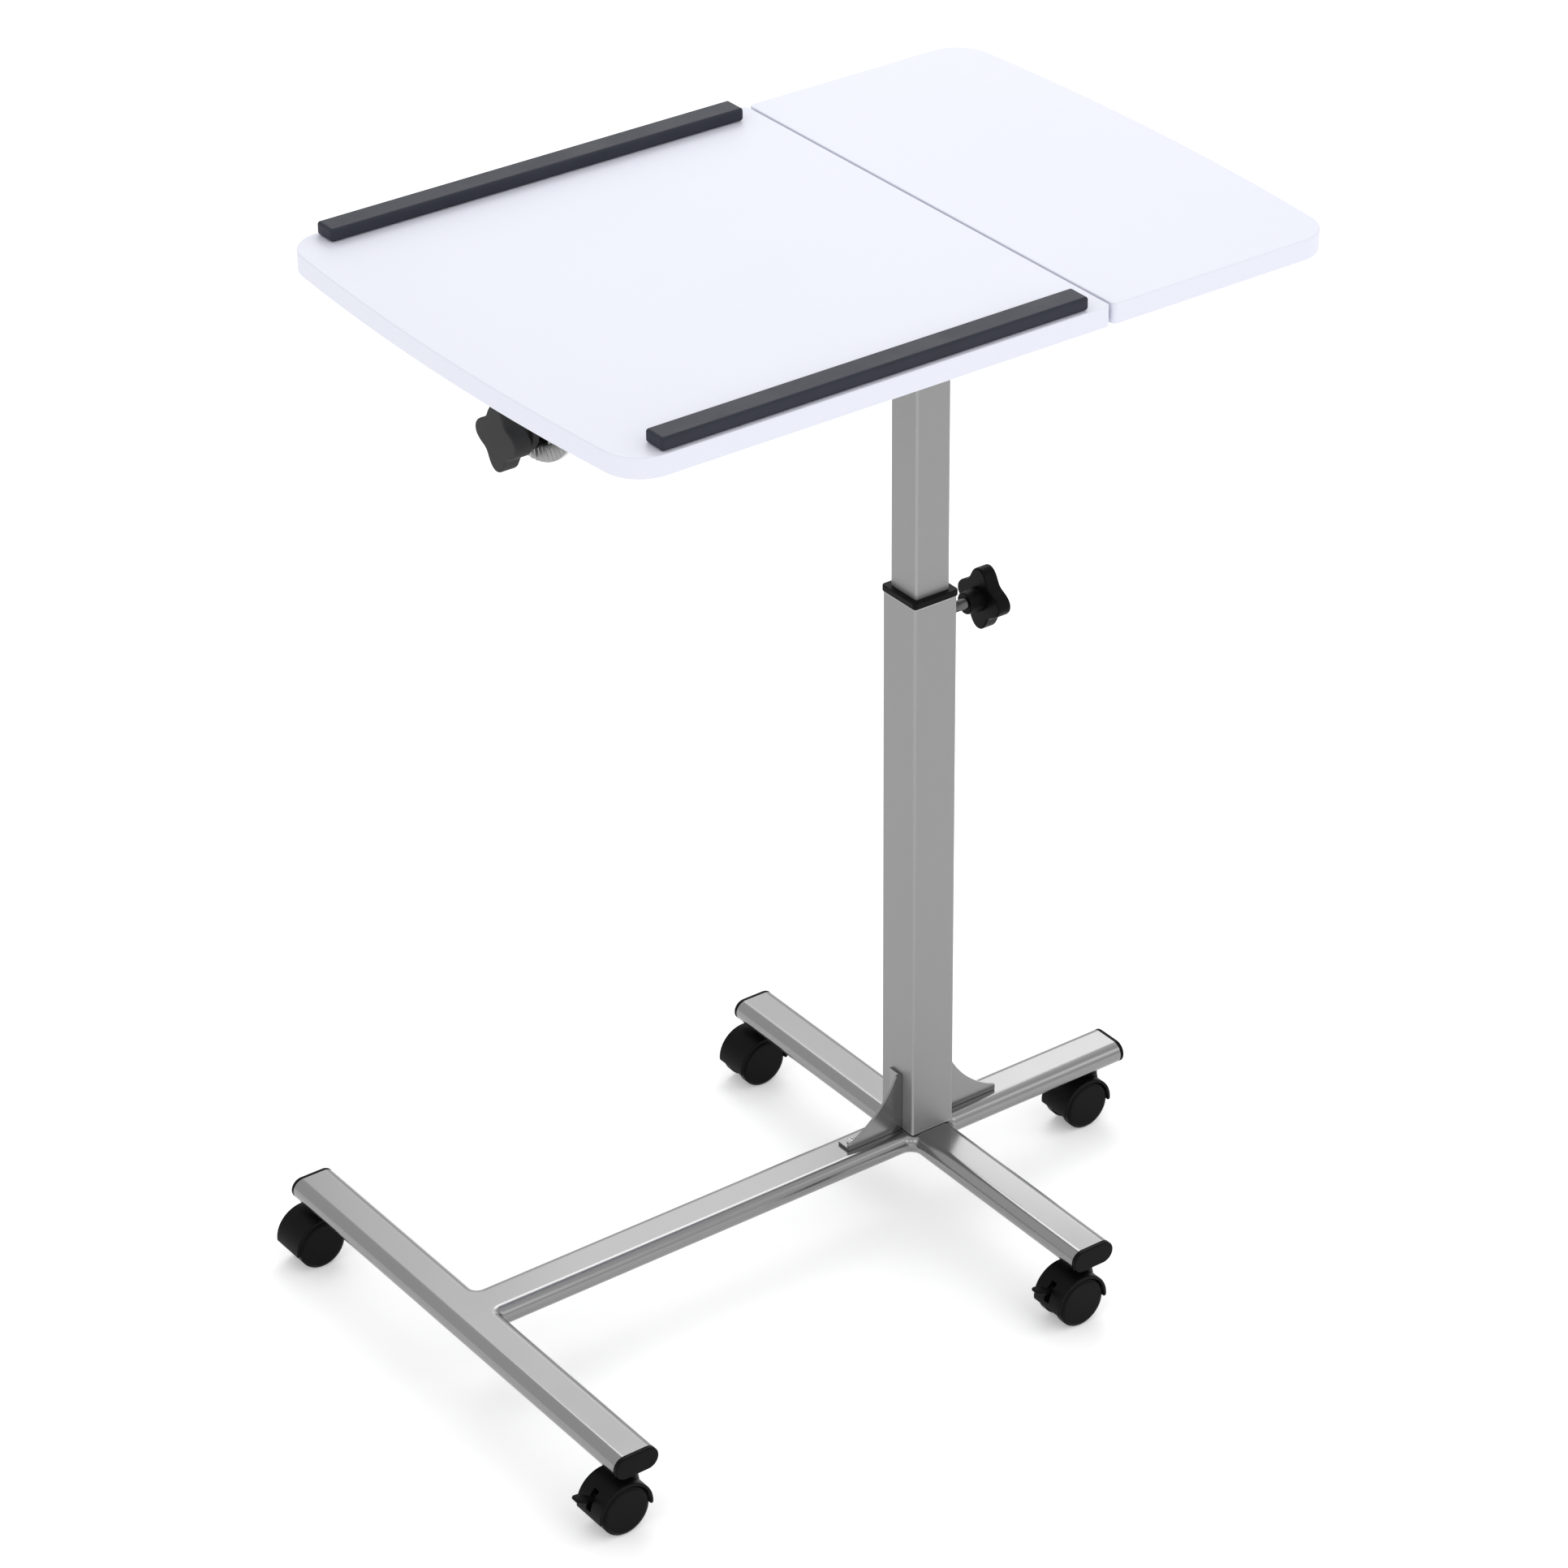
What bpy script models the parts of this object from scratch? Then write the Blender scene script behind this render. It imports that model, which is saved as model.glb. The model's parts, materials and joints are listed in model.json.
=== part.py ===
"""Overbed table on five twin-wheel casters.

A steel base of flat oval tubes carries a square telescopic column.  A round
pivot tube lies across the column's head.  The small board is fixed to it, and
the large board tilts about it, held by a slotted quadrant and a clamp knob.

Metres, +Z up.  The floor is z = 0 and the origin is the middle of the
object's footprint.  +X runs from the open end of the base to the column.
"""
import math

import bmesh
import bpy
from mathutils import Matrix, Vector

MM = 0.001
GAP = 0.3 * MM
OVERLAP = 1.0 * MM
MERGE = 0.00001

# Overall placing
COLUMN_X = 117.35 * MM
BOARD_TOP = 794.8 * MM
BEAM_Z = 54.2 * MM

# Base tubes: flat oval section
OVAL_WIDTH = 34.8 * MM
OVAL_HEIGHT = 17.0 * MM
TUBE_WALL = 1.5 * MM
CAP_THICK = 3.0 * MM
CAP_SPIGOT = 6.0 * MM
LEFT_BAR_X = -391.1 * MM
BAR_LENGTH = 409.8 * MM
BEAM_END_X = 181.0 * MM

# Telescopic column
OUTER_SIDE = 36.9 * MM
INNER_SIDE = 29.2 * MM
OUTER_TOP = 497.7 * MM
INNER_BOTTOM = 270.0 * MM
COLLAR_SIDE = 38.9 * MM
OUTER_CORNER_RADIUS = 1.8 * MM
INNER_CORNER_RADIUS = 1.6 * MM
COLLAR_HEIGHT = 5.0 * MM
COLLAR_SPIGOT = 14.0 * MM
GUIDE_BLOCK = 6.0 * MM
GUIDE_PLUG = 24.0 * MM
COLUMN_KNOB_Z = 476.4 * MM

# Boards
BOARD_THICK = 15.0 * MM
BOARD_DEPTH = 400.0 * MM
LARGE_BOARD_END = -384.0 * MM
LARGE_BOARD_SEAM = -0.4 * MM
SMALL_BOARD_SEAM = 1.6 * MM
SMALL_BOARD_END = 199.0 * MM
END_BULGE = 10.0 * MM
OUTER_CORNER = 28.0 * MM
SEAM_CORNER = 4.0 * MM
STRIP_START = -350.0 * MM
STRIP_END = -17.0 * MM
STRIP_WIDTH = 18.6 * MM
STRIP_HEIGHT = 9.4 * MM
STRIP_INSET = 2.3 * MM

# Tilting gear under the boards
PIVOT_Z = 757.4 * MM
PIVOT_RADIUS = 12.5 * MM
PIVOT_WALL = 2.0 * MM
PIVOT_LEFT = -309.0 * MM
PIVOT_RIGHT = 168.0 * MM
CLAMP_DROP = 35.4 * MM
QUADRANT_X = -318.3 * MM
QUADRANT_RADIUS = 55.8 * MM
QUADRANT_THICK = 4.0 * MM
SLOT_OUTER = 44.0 * MM
SLOT_INNER = 27.0 * MM
SLOT_HALF_ANGLE = 62
LINK_THICK = 4.0 * MM
LINK_RADIUS = 16.5 * MM
CRADLE_THICK = 2.0 * MM
CRADLE_HALF_WIDTH = 40.0 * MM
LUG_THICK = 12.0 * MM
LUG_RADIUS = 17.0 * MM

# Knobs
KNOB_REACH = 23.8 * MM
KNOB_WAIST = 16.6 * MM
KNOB_THICK = 11.0 * MM
BOLT_RADIUS = 4.0 * MM
BOLT_HOLE = 4.4 * MM
TILT_KNOB_FRONT = -343.4 * MM
TILT_KNOB_THICK = 12.8 * MM
COLUMN_KNOB_REAR = 51.0 * MM
KNOB_SOCKET_FLOOR = 5.0 * MM
COLUMN_BOSS_LENGTH = 12.0 * MM
COLUMN_BOSS_RADIUS = 8.0 * MM
TILT_BOSS_LENGTH = 7.0 * MM
TILT_BOSS_RADIUS = 10.0 * MM
BUSH_RADIUS = 14.0 * MM
BOLT_HEAD_RADIUS = 7.5 * MM
BOLT_HEAD_HEIGHT = 5.0 * MM
NUT_SIDE = 14.0 * MM
NUT_THICK = 1.6 * MM

# Gussets at the column's foot
GUSSET_WIDTH = 12.4 * MM
GUSSET_LEG = 48.2 * MM
GUSSET_RISE = 47.2 * MM
GUSSET_THICK = 2.0 * MM
GUSSET_HOLLOW_RADIUS = 82.0 * MM
GUSSET_HOLLOW_CENTRE = 80.0 * MM
FOOT_SCREW_X = 59.5 * MM

# Pan-head screws
SCREW_RADIUS = 2.0 * MM
SCREW_HEAD_RADIUS = 3.8 * MM
SCREW_HEAD_HEIGHT = 2.2 * MM
FOOT_SCREW_LENGTH = 10.0 * MM
BOARD_SCREW_LENGTH = 12.0 * MM

# Casters
WHEEL_RADIUS = 18.8 * MM
WHEEL_OUTER = 14.2 * MM
WHEEL_INNER = 6.0 * MM
HOOD_RADIUS = 21.8 * MM
HOOD_INNER = 19.7 * MM
HOOD_START = -6
HOOD_END = 187
WEB_HALF = 5.5 * MM
WEB_RADIUS = 12.8 * MM
AXLE_RADIUS = 3.5 * MM
TRAIL = 9.6 * MM
NECK_RADIUS = 8.0 * MM
NECK_TOP = 43.6 * MM
STEM_RADIUS = 4.0 * MM
CASTER_Y = 191.0 * MM
BEAM_CASTER_X = 159.2 * MM
LEVER_PIVOT_OUT = 14.5 * MM
LEVER_PIVOT_UP = 9.0 * MM
LEVER_HALF = 2.4 * MM
LEVER_ROOT_RADIUS = 3.4 * MM
LEAF_LENGTH = 15.1 * MM
LEAF_OUT = 4.0 * MM
LEAF_UP = 2.2 * MM
LEAF_ROOT = 0.10
LEAF_SHOULDER = 0.55
LEAF_TIP = 0.62
LEAF_CORNER = 2.0 * MM
LEAF_HALF = 5.8 * MM
LEAF_THICK = 2.6 * MM
LEAF_RISE = math.radians(22)
LEVER_SLOT_LOW = 0.8 * MM
LEVER_SLOT_HIGH = 18.3 * MM
LEVER_SLOT_DEPTH = 8.5 * MM

ALONG_X = (math.pi / 2, 0, math.pi / 2)
ALONG_Y = (math.pi / 2, 0, 0)
FLAT = (0, 0, 0)
TURN_TO_X = (0, math.pi / 2, 0)
TURN_TO_Y = (-math.pi / 2, 0, 0)

UNDERSIDE = BOARD_TOP - BOARD_THICK
BEAM_TOP = BEAM_Z + OVAL_HEIGHT / 2
BEAM_BOTTOM = BEAM_Z - OVAL_HEIGHT / 2
CLAMP_Z = PIVOT_Z - CLAMP_DROP


def make_material(name, colour, roughness, metallic):
    material = bpy.data.materials.new(name)
    material.use_nodes = True
    shader = material.node_tree.nodes["Principled BSDF"]
    shader.inputs["Base Color"].default_value = (*colour, 1)
    shader.inputs["Roughness"].default_value = roughness
    shader.inputs["Metallic"].default_value = metallic
    return material


# Outlines: lists of (x, y) points

def arc(centre, radius, start, end, steps):
    """Points on an arc, angles in degrees, both ends included."""
    points = []
    for step in range(steps + 1):
        angle = math.radians(start + (end - start) * step / steps)
        points.append((centre[0] + radius * math.cos(angle), centre[1] + radius * math.sin(angle)))
    return points


def circle(centre, radius, steps):
    return arc(centre, radius, 0, 360 * (steps - 1) / steps, steps - 1)


def oval(width, height, steps=8):
    """Flat oval: straight top and bottom, half-round sides."""
    offset = (width - height) / 2
    right = arc((offset, 0), height / 2, -90, 90, steps)
    left = arc((-offset, 0), height / 2, 90, 270, steps)
    return right + left


def rounded_square(side, radius, steps=3):
    inner = side / 2 - radius
    points = []
    for quarter, (sx, sy) in enumerate(((1, 1), (-1, 1), (-1, -1), (1, -1))):
        points += arc((sx * inner, sy * inner), radius, quarter * 90, quarter * 90 + 90, steps)
    return points


def fillet(corner, before, after, radius, steps):
    """Points that round one convex corner of an outline."""
    corner = Vector(corner)
    back = (Vector(before) - corner).normalized()
    ahead = (Vector(after) - corner).normalized()
    half = back.angle(ahead) / 2
    centre = corner + (back + ahead).normalized() * radius / math.sin(half)
    first = corner + back * radius / math.tan(half)
    last = corner + ahead * radius / math.tan(half)
    start = math.atan2(first.y - centre.y, first.x - centre.x)
    sweep = math.atan2(last.y - centre.y, last.x - centre.x) - start
    sweep = (sweep + math.pi) % (2 * math.pi) - math.pi
    points = []
    for step in range(steps + 1):
        angle = start + sweep * step / steps
        points.append((centre.x + radius * math.cos(angle), centre.y + radius * math.sin(angle)))
    return points


def board_outline(seam, end):
    """A board with a straight seam side and a gently bowed outer end."""
    side = 1 if end > seam else -1
    half = BOARD_DEPTH / 2
    bow_radius = (half ** 2 + END_BULGE ** 2) / (2 * END_BULGE)
    bow_centre = end - side * bow_radius

    def bow(y):
        return (bow_centre + side * math.sqrt(bow_radius ** 2 - y ** 2), y)

    edge = half - OUTER_CORNER
    points = fillet((seam, -half), (seam, 0), (end, -half), SEAM_CORNER, 3)
    points += fillet(bow(-half), (seam, -half), bow(-edge), OUTER_CORNER, 6)
    points += [bow(-edge * 0.9 + edge * 1.8 * step / 12) for step in range(13)]
    points += fillet(bow(half), bow(edge), (seam, half), OUTER_CORNER, 6)
    points += fillet((seam, half), (end, half), (seam, 0), SEAM_CORNER, 3)
    return points


def knob_outline(steps=10):
    """Four round lobes with hollow waists between them."""
    middle = (KNOB_REACH + KNOB_WAIST) / 2
    swing = (KNOB_REACH - KNOB_WAIST) / 2
    points = []
    for step in range(4 * steps):
        angle = 2 * math.pi * step / (4 * steps)
        radius = middle + swing * math.cos(4 * angle)
        points.append((radius * math.cos(angle), radius * math.sin(angle)))
    return points


# Solids

def add_object(name, mesh, material, location, rotation, parent):
    piece = bpy.data.objects.new(name, mesh)
    PARTS.objects.link(piece)
    if material:
        mesh.materials.clear()
        mesh.materials.append(material)
    piece.location = location
    piece.rotation_euler = rotation
    if parent:
        piece.parent = parent
        piece.location = Vector(location) - parent.location
    return piece


def extruded_mesh(name, loops, thickness):
    """A filled flat outline, with holes, extruded evenly about its plane."""
    curve = bpy.data.curves.new(name, "CURVE")
    curve.dimensions = "2D"
    curve.fill_mode = "BOTH"
    curve.extrude = thickness / 2
    for loop in loops:
        spline = curve.splines.new("POLY")
        spline.points.add(len(loop) - 1)
        for point, (x, y) in zip(spline.points, loop):
            point.co = (x, y, 0, 1)
        spline.use_cyclic_u = True
    guide = bpy.data.objects.new(name, curve)
    CUTTERS.objects.link(guide)
    bpy.context.view_layer.update()
    evaluated = guide.evaluated_get(bpy.context.evaluated_depsgraph_get())
    mesh = bpy.data.meshes.new_from_object(evaluated)
    bpy.data.objects.remove(guide)
    bpy.data.curves.remove(curve)
    shape = bmesh.new()
    shape.from_mesh(mesh)
    bmesh.ops.remove_doubles(shape, verts=shape.verts, dist=MERGE)
    bmesh.ops.recalc_face_normals(shape, faces=shape.faces)
    shape.to_mesh(mesh)
    shape.free()
    return mesh


def smooth(mesh):
    mesh.shade_smooth()
    mesh.set_sharp_from_angle(angle=math.radians(30))


def extruded(name, loops, thickness, material, location, rotation=FLAT, parent=None):
    mesh = extruded_mesh(name, loops, thickness)
    smooth(mesh)
    return add_object(name, mesh, material, location, rotation, parent)


def turned(name, profile, material, location, rotation=FLAT, parent=None, ring=False, steps=24):
    """A profile of (radius, height) points turned about local Z."""
    mesh = bpy.data.meshes.new(name)
    edges = [(index, index + 1) for index in range(len(profile) - 1)]
    if ring:
        edges.append((len(profile) - 1, 0))
    mesh.from_pydata([(radius, 0, height) for radius, height in profile], edges, [])
    piece = add_object(name, mesh, material, location, rotation, parent)
    screw = piece.modifiers.new("Turn", "SCREW")
    screw.steps = steps
    screw.render_steps = steps
    screw.use_merge_vertices = True
    screw.merge_threshold = MERGE
    screw.use_smooth_shade = True
    return piece


def cylinder_profile(radius, top, bottom):
    return [(0, top), (radius, top), (radius, bottom), (0, bottom)]


def box_mesh(name, size):
    mesh = bpy.data.meshes.new(name)
    shape = bmesh.new()
    bmesh.ops.create_cube(shape, size=1, matrix=Matrix.Diagonal((*size, 1)))
    shape.to_mesh(mesh)
    shape.free()
    return mesh


def box(name, size, material, location, parent=None):
    return add_object(name, box_mesh(name, size), material, location, FLAT, parent)


def as_cutter(piece):
    """Move a solid to the cutters and hide it from the result."""
    PARTS.objects.unlink(piece)
    CUTTERS.objects.link(piece)
    piece.hide_render = True
    piece.display_type = "WIRE"
    return piece


def boolean(piece, tool, operation):
    modifier = piece.modifiers.new(tool.name, "BOOLEAN")
    modifier.object = as_cutter(tool)
    modifier.operation = operation
    modifier.solver = "EXACT"


def cut(piece, tool):
    boolean(piece, tool, "DIFFERENCE")


def join(piece, tool):
    boolean(piece, tool, "UNION")


def at(x, y, z):
    """A place measured from the column's centre line at the floor."""
    return Vector((COLUMN_X + x, y, z))


def axis_empty(name, location):
    empty = bpy.data.objects.new(name, None)
    PARTS.objects.link(empty)
    empty.location = location
    empty.empty_display_size = 0.03
    return empty


# Base

def tube_loops():
    hollow = oval(OVAL_WIDTH - 2 * TUBE_WALL, OVAL_HEIGHT - 2 * TUBE_WALL)
    return [oval(OVAL_WIDTH, OVAL_HEIGHT), hollow]


def clearance_loops():
    return [oval(OVAL_WIDTH + 2 * GAP, OVAL_HEIGHT + 2 * GAP)]


def stem_hole(piece, x, y):
    hole = turned(piece.name + "_stem_hole", cylinder_profile(STEM_RADIUS + GAP, 8 * MM, -8 * MM), None,
                  at(x, y, BEAM_BOTTOM), steps=12)
    cut(piece, hole)


def screw_hole(piece, x, z):
    hole = turned(piece.name + "_screw_hole", cylinder_profile(SCREW_RADIUS + GAP, 5 * MM, -5 * MM),
                  None, at(x, 0, z), steps=12)
    cut(piece, hole)


def build_tubes():
    cap = CAP_THICK + GAP
    left_bar = extruded("left_crossbar", tube_loops(), BAR_LENGTH - 2 * cap, STEEL,
                        at(LEFT_BAR_X, 0, BEAM_Z), ALONG_Y)
    for side in (-1, 1):
        stem_hole(left_bar, LEFT_BAR_X, side * CASTER_Y)

    start = LEFT_BAR_X
    end = BEAM_END_X - cap
    beam = extruded("main_beam", tube_loops(), end - start, STEEL, at((start + end) / 2, 0, BEAM_Z), ALONG_X)
    cut(beam, extruded("left_crossbar_room", clearance_loops(), OVAL_WIDTH * 2, None,
                       at(LEFT_BAR_X, 0, BEAM_Z), ALONG_Y))
    stem_hole(beam, BEAM_CASTER_X, 0)
    for side in (-1, 1):
        screw_hole(beam, side * FOOT_SCREW_X, BEAM_TOP)

    for name, side in (("front", -1), ("back", 1)):
        reach = BAR_LENGTH / 2 - cap
        bar = extruded(name + "_crossbar", tube_loops(), reach, STEEL,
                       at(0, side * reach / 2, BEAM_Z), ALONG_Y)
        cut(bar, extruded(name + "_beam_room", clearance_loops(), OVAL_WIDTH * 2, None,
                          at(0, 0, BEAM_Z), ALONG_X))
        stem_hole(bar, 0, side * CASTER_Y)


def build_cap(name, location, outward):
    """An oval cover with a spigot that plugs into the tube's end."""
    along_x = abs(outward.x) > 0.5
    rotation = ALONG_X if along_x else ALONG_Y
    cover = extruded(name, [oval(OVAL_WIDTH, OVAL_HEIGHT)], CAP_THICK, PLASTIC,
                     location - outward * CAP_THICK / 2, rotation)
    inset = 2 * (TUBE_WALL + GAP)
    plug = extruded(name + "_spigot", [oval(OVAL_WIDTH - inset, OVAL_HEIGHT - inset)], CAP_SPIGOT, None,
                    location - outward * (CAP_THICK + CAP_SPIGOT / 2 - OVERLAP), rotation)
    join(cover, plug)


def build_caps():
    half = BAR_LENGTH / 2
    for name, x in (("left", LEFT_BAR_X), ("cross", 0)):
        build_cap(name + "_front_end_cap", at(x, -half, BEAM_Z), Vector((0, -1, 0)))
        build_cap(name + "_back_end_cap", at(x, half, BEAM_Z), Vector((0, 1, 0)))
    build_cap("beam_end_cap", at(BEAM_END_X, 0, BEAM_Z), Vector((1, 0, 0)))


def build_gusset(name, side):
    """An angle bracket with a hollow-edged web along its front."""
    face = OUTER_SIDE / 2 + GAP
    floor = BEAM_TOP + GAP
    centre = GUSSET_HOLLOW_CENTRE
    start = 180 + math.degrees(math.acos((centre - GUSSET_LEG) / GUSSET_HOLLOW_RADIUS))
    end = 180 + math.degrees(math.asin((centre - GUSSET_RISE) / GUSSET_HOLLOW_RADIUS))
    outline = [(0, 0), (GUSSET_LEG, 0)]
    outline += arc((centre, centre), GUSSET_HOLLOW_RADIUS, start, end, 10)
    outline += [(0, GUSSET_RISE)]
    outline = [(side * x, z) for x, z in outline]
    bracket = extruded(name, [outline], GUSSET_WIDTH, STEEL, at(side * face, 0, floor), ALONG_Y)
    pocket_size = GUSSET_LEG + GUSSET_RISE
    pocket = box(name + "_pocket", (pocket_size, GUSSET_WIDTH, pocket_size), None,
                 at(side * (face + GUSSET_THICK + pocket_size / 2), GUSSET_THICK,
                    floor + GUSSET_THICK + pocket_size / 2))
    cut(bracket, pocket)
    screw_hole(bracket, side * FOOT_SCREW_X, floor)
    seat = at(side * FOOT_SCREW_X, 0, floor + GUSSET_THICK + GAP)
    build_screw(name + "_screw", seat, FLAT, FOOT_SCREW_LENGTH)


def build_screw(name, seat, rotation, length, parent=None):
    """A pan-head screw whose head sits on `seat`, shank along local -Z."""
    profile = [(0, SCREW_HEAD_HEIGHT), (SCREW_HEAD_RADIUS * 0.7, SCREW_HEAD_HEIGHT * 0.85),
               (SCREW_HEAD_RADIUS, SCREW_HEAD_HEIGHT * 0.3), (SCREW_HEAD_RADIUS, 0), (SCREW_RADIUS, 0),
               (SCREW_RADIUS, -length), (0, -length)]
    turned(name, profile, ZINC, seat, rotation, parent, steps=12)


def build_column():
    wall_loop = rounded_square(OUTER_SIDE - 2 * TUBE_WALL, 1.2 * MM)
    bottom = BEAM_TOP + GAP
    skin_loop = rounded_square(OUTER_SIDE, OUTER_CORNER_RADIUS)
    outer = extruded("outer_column", [skin_loop, wall_loop], OUTER_TOP - bottom, COLUMN_GREY,
                     at(0, 0, (OUTER_TOP + bottom) / 2))
    hole = turned("column_stud_hole", cylinder_profile(BOLT_HOLE, 6 * MM, -6 * MM), None,
                  at(OUTER_SIDE / 2, 0, COLUMN_KNOB_Z), TURN_TO_X, steps=16)
    cut(outer, hole)

    base = OUTER_TOP + GAP
    collar = extruded("column_collar",
                      [rounded_square(COLLAR_SIDE, 3 * MM), rounded_square(INNER_SIDE + 2 * GAP, 2 * MM)],
                      COLLAR_HEIGHT, PLASTIC, at(0, 0, base + COLLAR_HEIGHT / 2))
    spigot_side = OUTER_SIDE - 2 * TUBE_WALL - 2 * GAP
    spigot = extruded("collar_spigot",
                      [rounded_square(spigot_side, 1 * MM), rounded_square(INNER_SIDE + 2 * GAP, 2 * MM)],
                      COLLAR_SPIGOT, None, at(0, 0, base + OVERLAP - COLLAR_SPIGOT / 2))
    join(collar, spigot)


def build_base():
    build_tubes()
    build_caps()
    build_gusset("left_gusset", -1)
    build_gusset("right_gusset", 1)
    build_column()


# Casters

def hood_outline():
    """Side view about the axle: a round hood above, a small web below."""
    inside = HOOD_INNER - OVERLAP
    outline = arc((0, 0), HOOD_RADIUS, HOOD_START, HOOD_END, 20)
    outline += arc((0, 0), inside, HOOD_END, HOOD_END + 1, 1)
    outline += arc((0, 0), WEB_RADIUS, 205, 335, 6)
    outline += arc((0, 0), inside, HOOD_START - 1, HOOD_START, 1)
    return outline


def build_hood(name, pivot, braked):
    """The caster's body, pivoting about its stem, with its axle stubs."""
    axle = Vector((-TRAIL, 0, WHEEL_RADIUS))
    hood = extruded(name + "_body", [[(x + axle.x, z + axle.z) for x, z in hood_outline()]],
                    2 * WHEEL_OUTER, PLASTIC, pivot.location, ALONG_Y, pivot)
    neck = turned(name + "_neck", cylinder_profile(NECK_RADIUS, NECK_TOP, NECK_TOP - 16 * MM), None,
                  pivot.location, steps=16)
    join(hood, neck)
    room = WHEEL_OUTER - WEB_HALF + 2 * MM
    for side in (-1, 1):
        space = turned(name + "_wheel_space", cylinder_profile(HOOD_INNER, room / 2, -room / 2), None,
                       pivot.location + axle + Vector((0, side * (WEB_HALF + room / 2), 0)), TURN_TO_Y)
        cut(hood, space)
    stub = WHEEL_OUTER - 2 * MM
    join(hood, turned(name + "_axle", cylinder_profile(AXLE_RADIUS, stub, -stub), None, pivot.location + axle,
                      TURN_TO_Y, steps=10))
    bore_top = NECK_TOP + 4 * MM
    bore_bottom = WHEEL_RADIUS + 6 * MM
    cut(hood, turned(name + "_bore", cylinder_profile(STEM_RADIUS + GAP, bore_top, bore_bottom), None,
                     pivot.location, steps=12))
    if braked:
        slot_length = HOOD_RADIUS + OVERLAP - LEVER_SLOT_DEPTH
        slot_size = (slot_length, 2 * (LEVER_HALF + GAP), LEVER_SLOT_HIGH - LEVER_SLOT_LOW)
        slot_place = Vector((-LEVER_SLOT_DEPTH - slot_length / 2, 0, (LEVER_SLOT_LOW + LEVER_SLOT_HIGH) / 2))
        cut(hood, box(name + "_lever_slot", slot_size, None, pivot.location + axle + slot_place))


def leaf_outline():
    """Plan of the brake lever's finger leaf, narrow at its root and rounded at its tip."""
    tip = -LEAF_LENGTH
    root = LEAF_ROOT * tip
    shoulder = LEAF_SHOULDER * tip
    tip_half = LEAF_TIP * LEAF_HALF
    corners = [(root, -LEVER_HALF), (shoulder, -LEAF_HALF), (tip, -tip_half), (tip, tip_half),
               (shoulder, LEAF_HALF), (root, LEVER_HALF)]
    points = [(LEAF_THICK, LEVER_HALF), (LEAF_THICK, -LEVER_HALF), corners[0]]
    for before, corner, after in zip(corners, corners[1:], corners[2:]):
        points += fillet(corner, before, after, LEAF_CORNER, 3)
    points.append(corners[-1])
    return points


def build_lever(name, pivot):
    """A rocking brake lever: a narrow root in the hood's slot and a broad leaf outside it."""
    root = Vector((-TRAIL - LEVER_PIVOT_OUT, 0, WHEEL_RADIUS + LEVER_PIVOT_UP))
    place = pivot.location + root
    lever = extruded(name + "_brake_lever", [circle((0, 0), LEVER_ROOT_RADIUS, 12)], 2 * LEVER_HALF, PLASTIC,
                     place, ALONG_Y, pivot)
    half = LEAF_THICK / 2
    arm = [(0, -half), (-LEAF_OUT, LEAF_UP - half), (-LEAF_OUT, LEAF_UP + half), (0, 2 * half)]
    join(lever, extruded(name + "_lever_arm", [arm], 2 * LEVER_HALF, None, place, ALONG_Y))
    join(lever, extruded(name + "_lever_leaf", [leaf_outline()], LEAF_THICK, None,
                         place + Vector((-LEAF_OUT, 0, LEAF_UP)), (0, LEAF_RISE, 0)))


def build_wheel(name, pivot, side):
    """A solid wheel with a closed outer face and a blind bore."""
    face = WHEEL_OUTER - WHEEL_INNER
    bore = AXLE_RADIUS + GAP
    depth = WHEEL_OUTER - 1.7 * MM - WHEEL_INNER
    profile = [(0, face), (WHEEL_RADIUS - 1.2 * MM, face), (WHEEL_RADIUS, face - 1.2 * MM),
               (WHEEL_RADIUS, 0.8 * MM), (WHEEL_RADIUS - 0.8 * MM, 0), (bore, 0), (bore, depth), (0, depth)]
    place = pivot.location + Vector((-TRAIL, side * WHEEL_INNER, WHEEL_RADIUS))
    turned(name, profile, PLASTIC, place, (-side * math.pi / 2, 0, 0), pivot)


def build_stem(name, x, y):
    """The swivel stem: a pin with a collar under the tube."""
    bottom = WHEEL_RADIUS + 7 * MM
    shoulder = BEAM_BOTTOM - GAP
    profile = [(0, BEAM_BOTTOM + 6 * MM), (STEM_RADIUS, BEAM_BOTTOM + 6 * MM), (STEM_RADIUS, shoulder),
               (NECK_RADIUS - 1.5 * MM, shoulder), (NECK_RADIUS - 1.5 * MM, NECK_TOP + GAP),
               (STEM_RADIUS, NECK_TOP + GAP), (STEM_RADIUS, bottom), (0, bottom)]
    turned(name + "_stem", profile, DARK_STEEL, at(x, y, 0), steps=12)


def build_caster(name, x, y, braked):
    pivot = axis_empty(name + "_swivel", at(x, y, 0))
    build_stem(name, x, y)
    build_hood(name, pivot, braked)
    build_wheel(name + "_wheel_front", pivot, -1)
    build_wheel(name + "_wheel_back", pivot, 1)
    if braked:
        build_lever(name, pivot)


def build_casters():
    build_caster("caster_left_front", LEFT_BAR_X, -CASTER_Y, True)
    build_caster("caster_left_back", LEFT_BAR_X, CASTER_Y, False)
    build_caster("caster_cross_front", 0, -CASTER_Y, True)
    build_caster("caster_cross_back", 0, CASTER_Y, False)
    build_caster("caster_beam_end", BEAM_CASTER_X, 0, False)


# Knobs

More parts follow.
